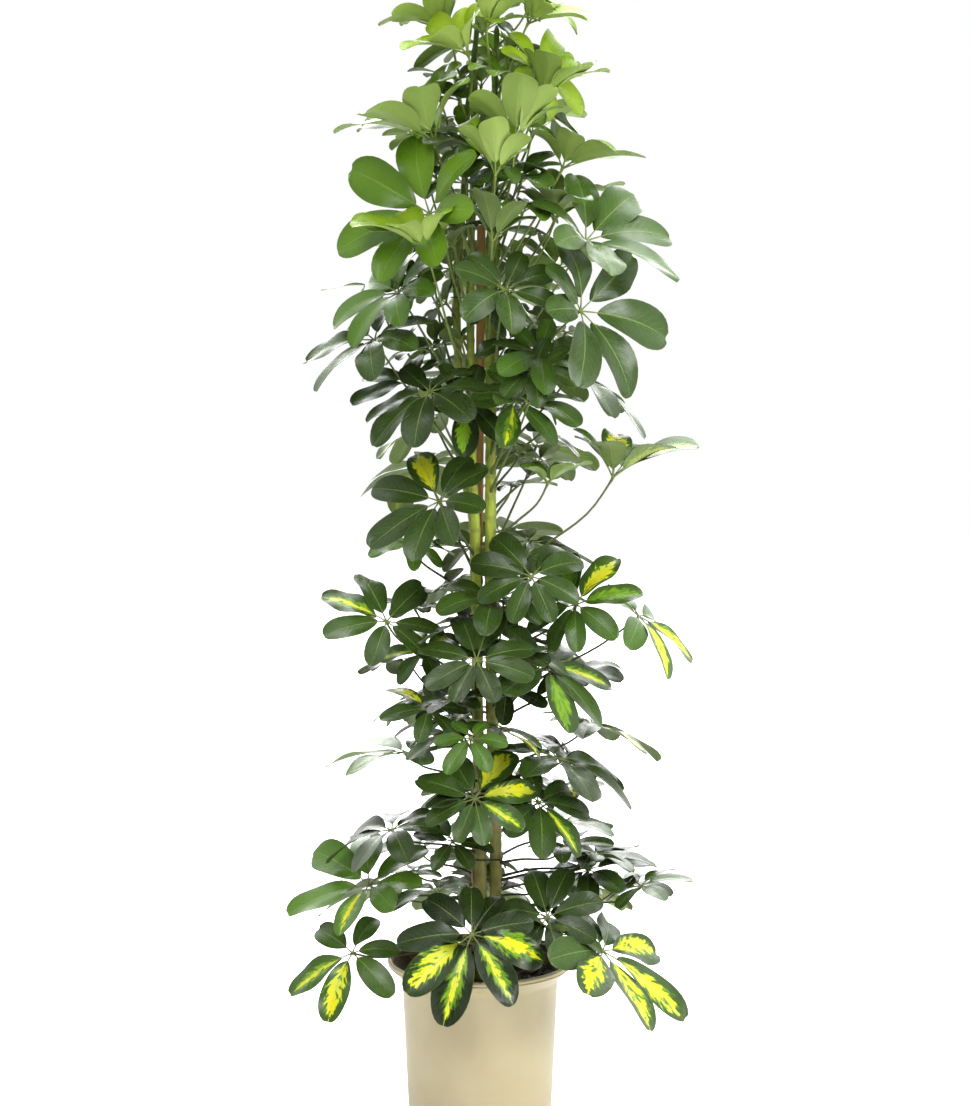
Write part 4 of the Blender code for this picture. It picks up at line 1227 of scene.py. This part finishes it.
def pot_paint():
    """The pot: cream moulded plastic, dusty at its foot, soiled near its rim and dark brown inside."""
    paint = Paint("cream_plastic")
    place = paint.place()
    _, _, height = paint.parts(place)
    inside, _, _ = paint.values("look")
    colour = paint.mix(paint.step(paint.noise(place, 14.0), 0.3, 0.7), *POT_CREAMS)
    dust = paint.step(height, 0.035, 0.0) * paint.noise(place, 60.0, 4.0)
    colour = paint.mix(dust * 0.5, colour, POT_DUST)
    soiled = paint.step(height, 0.190, 0.212) * paint.step(paint.noise(place, 120.0, 4.0),
                                                           0.60, 0.75, 0.0, 0.35)
    colour = paint.mix(soiled, colour, POT_SOILED)
    # The inner wall and floor, up to just below the rim, are painted dark brown to nearly black.
    inside_brown = paint.mix(paint.step(paint.noise(place, 38.0, 4.0), 0.42, 0.62), *POT_INSIDE_BROWNS)
    colour = paint.mix(inside * 0.94, colour, inside_brown)
    scuffs = paint.grain((60.0, 60.0, 700.0), 4.0, 0.7)
    paint.bump(paint.noise(place, 420.0, 2.0) * 0.5 + scuffs * 0.25, 0.00018, 0.5)
    roughness = paint.step(scuffs, 0.35, 0.75, 0.30, 0.44) + inside * 0.55
    return paint.finish(colour, roughness, Specular_IOR_Level=0.4)


class Shape:
    """Points and faces of a piece while it is made, with named values at each point."""

    def __init__(self):
        self.points = []
        self.faces = []
        self.values = {}

    def add(self, points, faces, **values):
        """Adds a part of the piece. A value is one vector for the whole part or one for each point."""
        start = len(self.points)
        self.points += points
        self.faces += [[start + k for k in face] for face in faces]
        for name, given in values.items():
            each = given if isinstance(given, list) else [given] * len(points)
            self.values.setdefault(name, []).extend(each)

    def add_tube(self, rows, sides):
        """Adds a tube from rows of middle, radius and look."""
        path, radii, looks = zip(*rows)
        self.add(*tube(path, radii, sides), look=[look for look in looks for _ in range(sides)])

    def mesh(self, name):
        """The mesh, with its values as attributes."""
        mesh = bpy.data.meshes.new(name)
        mesh.from_pydata(self.points, [], self.faces)
        for label, values in self.values.items():
            layer = mesh.attributes.new(label, "FLOAT_VECTOR", "POINT")
            layer.data.foreach_set("vector", [number for value in values for number in value])
        return mesh


def placed_object(name, data):
    """A new object in the scene."""
    obj = bpy.data.objects.new(name, data)
    bpy.context.scene.collection.objects.link(obj)
    return obj


def piece(name, shape, finish, node, crease):
    """A visible piece of the plant from its shape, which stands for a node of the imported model.

    Edges that turn by more than crease degrees stay sharp.
    """
    mesh = shape.mesh(name)
    mesh.materials.append(finish)
    mesh.shade_smooth()
    mesh.set_sharp_from_angle(angle=math.radians(crease))
    obj = placed_object(name, mesh)
    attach(obj, "root")
    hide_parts(node)
    return obj


def pot_section():
    """Radius and height of the pot's section: up the outside, round the lip and down the inside."""
    lip_foot = POT_HEIGHT - LIP_THICKNESS
    half = LIP_THICKNESS / 2
    section = [(0.0, 0.0), (BASE_RADIUS - BASE_EDGE, 0.0)]
    for k in range(1, EDGE_STEPS):
        turn = math.radians(90 * k / EDGE_STEPS)
        section.append((pot_radius(BASE_EDGE) - BASE_EDGE * (1 - math.sin(turn)),
                        BASE_EDGE * (1 - math.cos(turn))))
    for k in range(WALL_STEPS + 1):
        height = BASE_EDGE + (SHOULDER_FOOT - WALL - BASE_EDGE) * k / WALL_STEPS
        section.append((pot_radius(height), height))
    section += [(WALL_TOP_RADIUS + out, SHOULDER_FOOT + up) for out, up in SHOULDER_BEND]
    for share in SHOULDER_SHARES:
        height = SHOULDER_FOOT + share * (lip_foot - SHOULDER_FOOT)
        section.append((pot_radius(height) + SHOULDER_SWELL, height))
    for k in range(LIP_STEPS + 1):
        turn = math.radians(LIP_TURN[0] + (LIP_TURN[1] - LIP_TURN[0]) * k / LIP_STEPS)
        section.append((RIM_RADIUS - half + half * math.cos(turn),
                        POT_HEIGHT - half + half * math.sin(turn)))
    section.append((RIM_RADIUS - LIP_THICKNESS + UNDER_LIP[0], POT_HEIGHT - half + UNDER_LIP[1]))
    section += [(WALL_TOP_RADIUS - WALL + out, SHOULDER_FOOT + WALL / 2 + up) for out, up in INNER_BEND]
    section += [(pot_radius(FLOOR) - WALL + out, FLOOR + up) for out, up in FLOOR_BEND]
    return [*section, (0.0, FLOOR)]


def make_pot():
    """The pot, smooth all round, with its drain holes cut through the floor."""
    section = pot_section()
    rings = [level_ring(height, radius, POT_SIDES) for radius, height in section[1:-1]]
    shape = Shape()
    shape.add(*capped(rings, section[0][1] * UP, section[-1][1] * UP, panels))
    pot = piece("cream_pot", shape, pot_paint(), "pot", crease=60)
    holes = Shape()
    for k in range(DRAINS):
        middle = DRAIN_RING * heading(DRAIN_AZIMUTH + 360 * k / DRAINS)
        holes.add(*tube([middle - FLOOR * UP, middle + 2 * FLOOR * UP], [DRAIN_RADIUS] * 2, DRILL_SIDES))
    drill = placed_object("drill", holes.mesh("drill"))
    cut = pot.modifiers.new("drain", "BOOLEAN")
    cut.operation = "DIFFERENCE"
    cut.object = drill
    graph = bpy.context.evaluated_depsgraph_get()
    pot.data = bpy.data.meshes.new_from_object(pot.evaluated_get(graph))
    pot.modifiers.clear()
    bpy.data.objects.remove(drill, do_unlink=True)
    darken_inside(pot.data)


def darken_inside(mesh):
    """Marks the points of the pot's inner wall and floor, which are painted dark brown."""
    inside_marks = mesh.attributes.new("look", "FLOAT_VECTOR", "POINT")
    for vertex, inside_mark in zip(mesh.vertices, inside_marks.data):
        spot = vertex.co
        inner = math.hypot(spot.x, spot.y) < pot_radius(spot.z) - DARK_INSIDE_DEPTH
        inside_mark.vector = (float(inner and spot.z < POT_HEIGHT - DARK_BELOW_RIM), 0.0, 0.0)


def soil_height(x, y):
    """The height of the soil's lumpy surface."""
    spot = Vector((x, y, 0.0))
    return SOIL_TOP + SOIL_LUMP * sum(share * noise.noise(spot * fine) for fine, share in SOIL_LUMPS)


def make_soil():
    """The soil in the pot with its lumpy top, and the crumbs of bark that lie on it."""
    brim = pot_radius(SOIL_TOP - SOIL_LUMP) - WALL - GAP
    bottom = FLOOR + GAP + SOIL_ABOVE_FLOOR
    rings = [level_ring(bottom, pot_radius(FLOOR) - WALL - GAP - SOIL_BASE_INSET, SOIL_SIDES)]
    for k in range(SOIL_RINGS, 0, -1):
        level = level_ring(SOIL_TOP, brim * k / SOIL_RINGS, SOIL_SIDES)
        rings.append([Vector((x, y, soil_height(x, y))) for x, y, _ in level])
    shape = Shape()
    shape.add(*capped(rings, bottom * UP, soil_height(0, 0) * UP))
    piece("potting_soil", shape, soil_paint(), "soil", crease=180)
    make_crumbs(brim)


def crumb(draw, size):
    """A rough flat crumb turned at random, as points round its middle, and its half height."""
    turn = Matrix.Rotation(draw.uniform(0, math.tau), 3, "Z")
    turn = turn @ Matrix.Rotation(draw.uniform(-CRUMB_LEAN, CRUMB_LEAN), 3, "X")
    scale = Vector((size, size * draw.uniform(*CRUMB_WIDTH), size * draw.uniform(*CRUMB_HEIGHT)))
    points = []
    for corner in CRUMB_CORNERS:
        rough = Vector([part + draw.uniform(-CRUMB_ROUGHNESS, CRUMB_ROUGHNESS) for part in corner])
        points.append(turn @ (rough * scale))
    return points, scale.z


def make_crumbs(brim):
    """Bark crumbs strewn over the soil, clear of the stems and the pot's wall."""
    draw = random.Random(CRUMB_SEED)
    shape = Shape()
    stands = [*(stem_point(stem, SOIL_TOP) for stem in STEMS), cane_point(SOIL_TOP)]
    for _ in range(CRUMBS):
        size = CRUMB_SIZE[0] + (CRUMB_SIZE[1] - CRUMB_SIZE[0]) * draw.random() ** 2
        far = (brim - size) * math.sqrt(draw.random())
        spot = far * heading(draw.uniform(0, 360))
        points, half_height = crumb(draw, size)
        shade = draw.random()
        if min(math.hypot(spot.x - stand.x, spot.y - stand.y) for stand in stands) < size + CRUMB_FROM_STEMS:
            continue
        spot.z = soil_height(spot.x, spot.y) + half_height * CRUMB_BURIED
        shape.add([spot + point for point in points], CRUMB_FACES, look=(shade, 0.0, 0.0))
    piece("bark_crumbs", shape, crumb_paint(), "soil", crease=30)


def make_cane():
    """The bamboo cane, with the rings of its nodes and a faint groove beside each."""
    rows = []
    for k in range(CANE_STEPS + 1):
        far = CANE_LENGTH * k / CANE_STEPS
        near = min(abs(far - node) for node in CANE_NODES) / CANE_NODE_HALF
        swell = math.exp(-near * near)
        groove = math.exp(-CANE_GROOVE_EDGE * (near - CANE_GROOVE_BESIDE) ** 2)
        radius = CANE_RADIUS + CANE_NODE_RISE * swell - CANE_GROOVE * groove
        rows.append((CANE_FOOT.lerp(CANE_TOP, far / CANE_LENGTH), radius, (swell, 0.0, 0.0)))
    shape = Shape()
    shape.add_tube(rows, CANE_SIDES)
    piece("bamboo", shape, bamboo_paint(), "cane", crease=50)


def tie_end(start, way, phase):
    """The line of one of a tie's two ends, twisted round the other as they run out and sag."""
    side = way.cross(UP)
    path = []
    for k in range(TIE_TAIL_STEPS):
        share = k / (TIE_TAIL_STEPS - 1)
        turn = math.tau * TIE_TURNS * share + phase
        off = math.cos(turn) * side + math.sin(turn) * UP
        out = TIE_TAIL * (share - TIE_TAIL_INSIDE) * (1 - TIE_TAIL_DRAWN_IN * share)
        sag = TIE_TAIL_SAG * TIE_TAIL * share * share
        path.append(start + way * out - sag * UP + off * TIE_TWIST_RADIUS)
    return path


def make_ties():
    """The wire ties round stems and cane, each with its two ends twisted together."""
    finish = wire_paint()
    for number, (height, azimuth) in enumerate(zip(TIE_HEIGHTS, TIE_TAIL_AZIMUTHS), 1):
        loop = rounded(tie_loop(height), True, TIE_ROUNDING)
        loop += loop[:2]
        shape = Shape()
        shape.add(*tube(loop, [TIE_WIRE] * len(loop), TIE_SIDES))
        way = heading(azimuth)
        start = max(loop, key=lambda spot: spot.dot(way))
        for phase in (0, math.pi):
            path = tie_end(start, way, phase)
            shape.add(*tube(path, [TIE_TAIL_WIRE] * len(path), TIE_TAIL_SIDES))
        piece(f"tie_wire_{number}", shape, finish, f"tie_{number}", crease=60)


def make_bark(number, stem, roots, finish):
    """A stem's own bark, with a scar ring at every leaf that grows or grew from it."""
    draw = random.Random(BARK_SEED + number)
    tip = stem.route[-1][0]
    scars = list(roots)
    height = SOIL_TOP + SCAR_LOWEST
    while height < tip - SCAR_HIGHEST:
        scars.append(height)
        height += draw.uniform(*SCAR_SPACING)
    count = round((tip - BARK_FOOT) / BARK_STEP)
    rows = []
    for k in range(count + 1):
        height = BARK_FOOT + (tip - BARK_FOOT) * k / count
        near = min(abs(height - scar) for scar in scars) / SCAR_HALF
        swell = math.exp(-near * near)
        slow = noise.noise(Vector((0.0, number * BARK_APART, height * BARK_SWELLS_TO_METRE)))
        radius = stem_radius(height) * (1 + BARK_SWELL * slow) + SCAR_RISE * swell
        rows.append((stem_point(stem, height), radius, (swell * SCAR_SHADE, 0.0, 0.0)))
    point, radius, _ = rows[-1]
    rows.append((point + BARK_TIP * UP, radius * BARK_TIP_SHARE, (0.0, 0.0, 0.0)))
    shape = Shape()
    shape.add_tube(rows, BARK_SIDES)
    piece(f"stem_bark_{number}", shape, finish, f"leafy_stem_{number}", crease=60)


def swelling(share, size):
    """How much thicker a petiole is at a share of its length from a swollen end."""
    rise, reach = size
    return rise * math.exp(-(share / reach) ** 2)


def hub_bud(frame):
    """The knob in the middle of the whorl, a low dome."""
    half = HUB_HALF * HUB_TALLER * frame.normal
    radius = HUB_RADIUS * HUB_NARROWER
    rings = [ring(frame.hub + half * level, frame.downhill, frame.across, radius * share, HUB_SIDES)
             for level, share in HUB_LEVELS]
    tip = frame.normal * HUB_HALF * HUB_TIP
    return capped(rings, frame.hub - tip, frame.hub + tip)


def make_stalks(number, grown, finish, name):
    """Petioles, hubs and the small stalks of the leaflets of one stem's leaves."""
    shape = Shape()
    for one in grown:
        frame = frame_of(one.leaf)
        tone = max(share_of(one.leaf.height, *STALK_YOUNG), STALK_OLDEST)
        line = rounded(one.path, False, STALK_PARTS)
        rows = []
        for k, point in enumerate(line):
            share = k / (len(line) - 1)
            taper = min(share * STALK_TAPER, 1)
            radius = PETIOLE_RADIUS[0] + (PETIOLE_RADIUS[2] - PETIOLE_RADIUS[0]) * taper
            radius += swelling(share, SHEATH) + swelling(1 - share, COLLAR)
            rows.append((point, radius, (tone, STALK_END_LIT * (k / len(line)) ** 2, 0.0)))
        shape.add_tube(rows, STALK_SIDES)
        shape.add(*hub_bud(frame), look=(tone, HUB_LIT, 0.0))
        for leaflet in one.leaflets:
            line = [blade_spine(frame, leaflet, far)[0] for far, _ in PETIOLULE]
            radii = [PETIOLULE_RADIUS * wide for _, wide in PETIOLULE]
            shape.add(*tube(line, radii, PETIOLULE_SIDES), look=(tone, PETIOLULE_LIT, 0.0))
    piece(f"{name}_{number}", shape, finish, f"leafy_stem_{number}", crease=60)


class Wave(NamedTuple):
    """A blade's own ripple along its edges, and its own number for the patterns."""

    height: float
    turns: float
    start: float
    seed: float


def blade_outline(share):
    """How wide a leaflet's blade is at a share of the blade's length, 1 at its widest."""
    peak = BLADE_BASE_POWER / (BLADE_BASE_POWER + BLADE_TIP_POWER)
    most = peak ** BLADE_BASE_POWER * (1 - peak) ** BLADE_TIP_POWER
    return share ** BLADE_BASE_POWER * (1 - share) ** BLADE_TIP_POWER / most


def fold_at(column):
    """How far the blade stands above its rib at a column: round at the rib, easing to the edge."""
    rise = math.sqrt(column * column + RIB_ROUND) - RIB_DROP
    return FOLD * rise * (FOLD_AT_RIB - FOLD_EASING * abs(column))


def blade_surfaces(frame, leaflet, wave):
    """The upper and lower points of a leaflet's blade, row by row, and where each is on the blade."""
    columns = [k / BLADE_HALF_COLUMNS for k in range(-BLADE_HALF_COLUMNS, BLADE_HALF_COLUMNS + 1)]
    first, last = BLADE_SHARES
    top, bottom, place = [], [], []
    for row in range(BLADE_ROWS + 1):
        share = first + (last - first) * (1 - math.cos(math.pi * row / BLADE_ROWS)) / 2
        middle, side, up = blade_spine(frame, leaflet, BLADE_FOOT + (1 - BLADE_FOOT) * share)
        half = leaflet.length * LEAFLET_WIDTH / 2 * blade_outline(share)
        half = max(half, PETIOLULE_RADIUS * BLADE_NARROWEST)
        for column in columns:
            turn = math.tau * (wave.turns * share + wave.start) + (WAVE_LEFT_LAG if column < 0 else 0.0)
            ripple = wave.height * math.sin(turn) * column * column
            centre = middle + side * half * column + up * (half * fold_at(column) + ripple)
            thick = BLADE_THICKNESS * (1 - BLADE_EDGE_LOSS * abs(column)) / 2
            rib = RIB_DEPTH * (1 - share) if column == 0 else 0.0
            top.append(centre + up * thick)
            bottom.append(centre - up * (thick + rib))
            place.append((column, share, wave.seed))
    return top, bottom, place


def blade_faces():
    """The faces of a blade's closed shell: the upper and lower sides and the edge all round."""
    across = 2 * BLADE_HALF_COLUMNS + 1
    under = across * (BLADE_ROWS + 1)
    faces = []
    for row in range(BLADE_ROWS):
        for column in range(across - 1):
            near = row * across + column
            upper = (near, near + 1, near + across + 1, near + across)
            faces.append(upper)
            faces.append([under + upper[k] for k in (0, 3, 2, 1)])
    edge = list(range(across))
    edge += [row * across + across - 1 for row in range(1, BLADE_ROWS + 1)]
    edge += [BLADE_ROWS * across + k for k in range(across - 2, -1, -1)]
    edge += [row * across for row in range(BLADE_ROWS - 1, 0, -1)]
    for corner, after in zip(edge, [*edge[1:], edge[0]]):
        faces.append((after, corner, under + corner, under + after))
    return faces


def mark_of(leaf, leaflet):
    """How much yellow and how much lime a leaflet has, from its place round the hub."""
    count = len(leaf.marks)
    slot = round((leaflet.angle - leaf.spin + 180) / (360 / count) - 0.5) % count
    return MARKS[leaf.marks[slot]]


def make_leaves(number, grown, finish, name):
    """The blades of all leaflets of one stem, as thin closed shells with the rib raised below."""
    shape = Shape()
    draw = random.Random(BLADE_SEED + number)
    faces = blade_faces()
    for one in grown:
        frame = frame_of(one.leaf)
        for leaflet in one.leaflets:
            wave = Wave(leaflet.length * WAVE_HEIGHT * draw.uniform(*WAVE_SPREAD),
                        draw.uniform(*WAVE_TURNS), draw.random(), draw.random())
            tone = min(max(one.leaf.tone + draw.uniform(-TONE_SPREAD, TONE_SPREAD), 0), 1)
            top, bottom, place = blade_surfaces(frame, leaflet, wave)
            unders = [(0.0, 0.0, 0.0)] * len(top) + [(1.0, 0.0, 0.0)] * len(bottom)
            shape.add(top + bottom, faces, blade=place * 2, look=(tone, *mark_of(one.leaf, leaflet)),
                      under=unders)
    piece(f"{name}_{number}", shape, finish, f"leafy_stem_{number}", crease=42)


def dress_stems():
    """Bark, stalks and leaves of every stem, with the small leaves that fill it out."""
    leaf, stalk, bark = LeafPaint().made(), stalk_paint(), bark_paint()
    grown = grown_leaves()
    small = coloured(fill_leaves(grown))
    for number, stem in enumerate(STEMS, 1):
        own = [one for one in grown if one.number == number]
        own_small = [one for one in small if one.number == number]
        make_bark(number, stem, [one.path[0].z for one in own + own_small], bark)
        for group, prefix in ((own, ""), (own_small, "small_")):
            make_stalks(number, group, stalk, f"{prefix}leaf_stalks")
            make_leaves(number, group, leaf, f"{prefix}leaves")


def make_stage():
    """A floor that the pot stands on, which the camera sees as plain white."""
    half = STAGE_HALF
    mesh = bpy.data.meshes.new("floor")
    mesh.from_pydata([(-half, -half, 0), (half, -half, 0), (half, half, 0), (-half, half, 0)], [],
                     [(0, 1, 2, 3)])
    paint = Paint("studio_floor")
    seen = paint.out("LightPath", output="Is Camera Ray")
    mesh.materials.append(paint.finish(FLOOR_WHITE, 0.9, Emission_Color=WHITE, Emission_Strength=seen))
    placed_object("floor", mesh)


def make_lights():
    """Large soft lights above, in front on the left, on the right and behind."""
    for name, (place, aim_height, size, power) in LIGHTS.items():
        light = bpy.data.lights.new(name, "AREA")
        light.shape = "SQUARE"
        light.size = size
        light.energy = power
        obj = placed_object(name, light)
        obj.location = place
        obj.visible_camera = False
        obj.rotation_euler = (aim_height * UP - Vector(place)).to_track_quat("-Z", "Y").to_euler()


def make_world():
    """White all round: full for the camera, dim as soft light, and in reflections brighter behind."""
    world = bpy.data.worlds.new("studio")
    world.use_nodes = True
    nodes = Nodes(world.node_tree)
    _, behind, _ = nodes.parts(nodes.out("TexCoord", output="Generated"))
    rise = (WORLD_GLOSS_BACK - WORLD_GLOSS_FRONT) / 2
    mirrored = behind * rise + (WORLD_GLOSS_FRONT + rise)
    lit = nodes.step(nodes.out("LightPath", output="Is Glossy Ray"), 0.0, 1.0, WORLD_DIFFUSE, mirrored)
    seen = nodes.out("LightPath", output="Is Camera Ray")
    background = nodes.tree.nodes["Background"]
    nodes.put(background.inputs["Color"], WHITE)
    nodes.put(background.inputs["Strength"], seen.math("MAXIMUM", lit))
    bpy.context.scene.world = world
    bpy.context.scene.view_settings.view_transform = "Standard"


def make_camera():
    """A view of the plant from the front, which cuts off its tip and the foot of the pot."""
    lens = bpy.data.cameras.new("camera")
    lens.lens = CAMERA_LENS
    camera = placed_object("camera", lens)
    camera.location = CAMERA_PLACE
    camera.rotation_euler = (math.radians(90 - CAMERA_PITCH), 0.0, 0.0)
    bpy.context.scene.camera = camera


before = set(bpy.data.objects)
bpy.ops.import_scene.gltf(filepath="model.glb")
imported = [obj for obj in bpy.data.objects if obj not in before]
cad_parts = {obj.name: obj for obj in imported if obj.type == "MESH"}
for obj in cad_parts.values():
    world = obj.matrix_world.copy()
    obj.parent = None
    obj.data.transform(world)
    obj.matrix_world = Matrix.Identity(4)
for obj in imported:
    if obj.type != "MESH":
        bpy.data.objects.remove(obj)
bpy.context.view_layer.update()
make_camera()
make_lights()
make_world()
make_stage()
make_pot()
make_soil()
make_cane()
make_ties()
dress_stems()
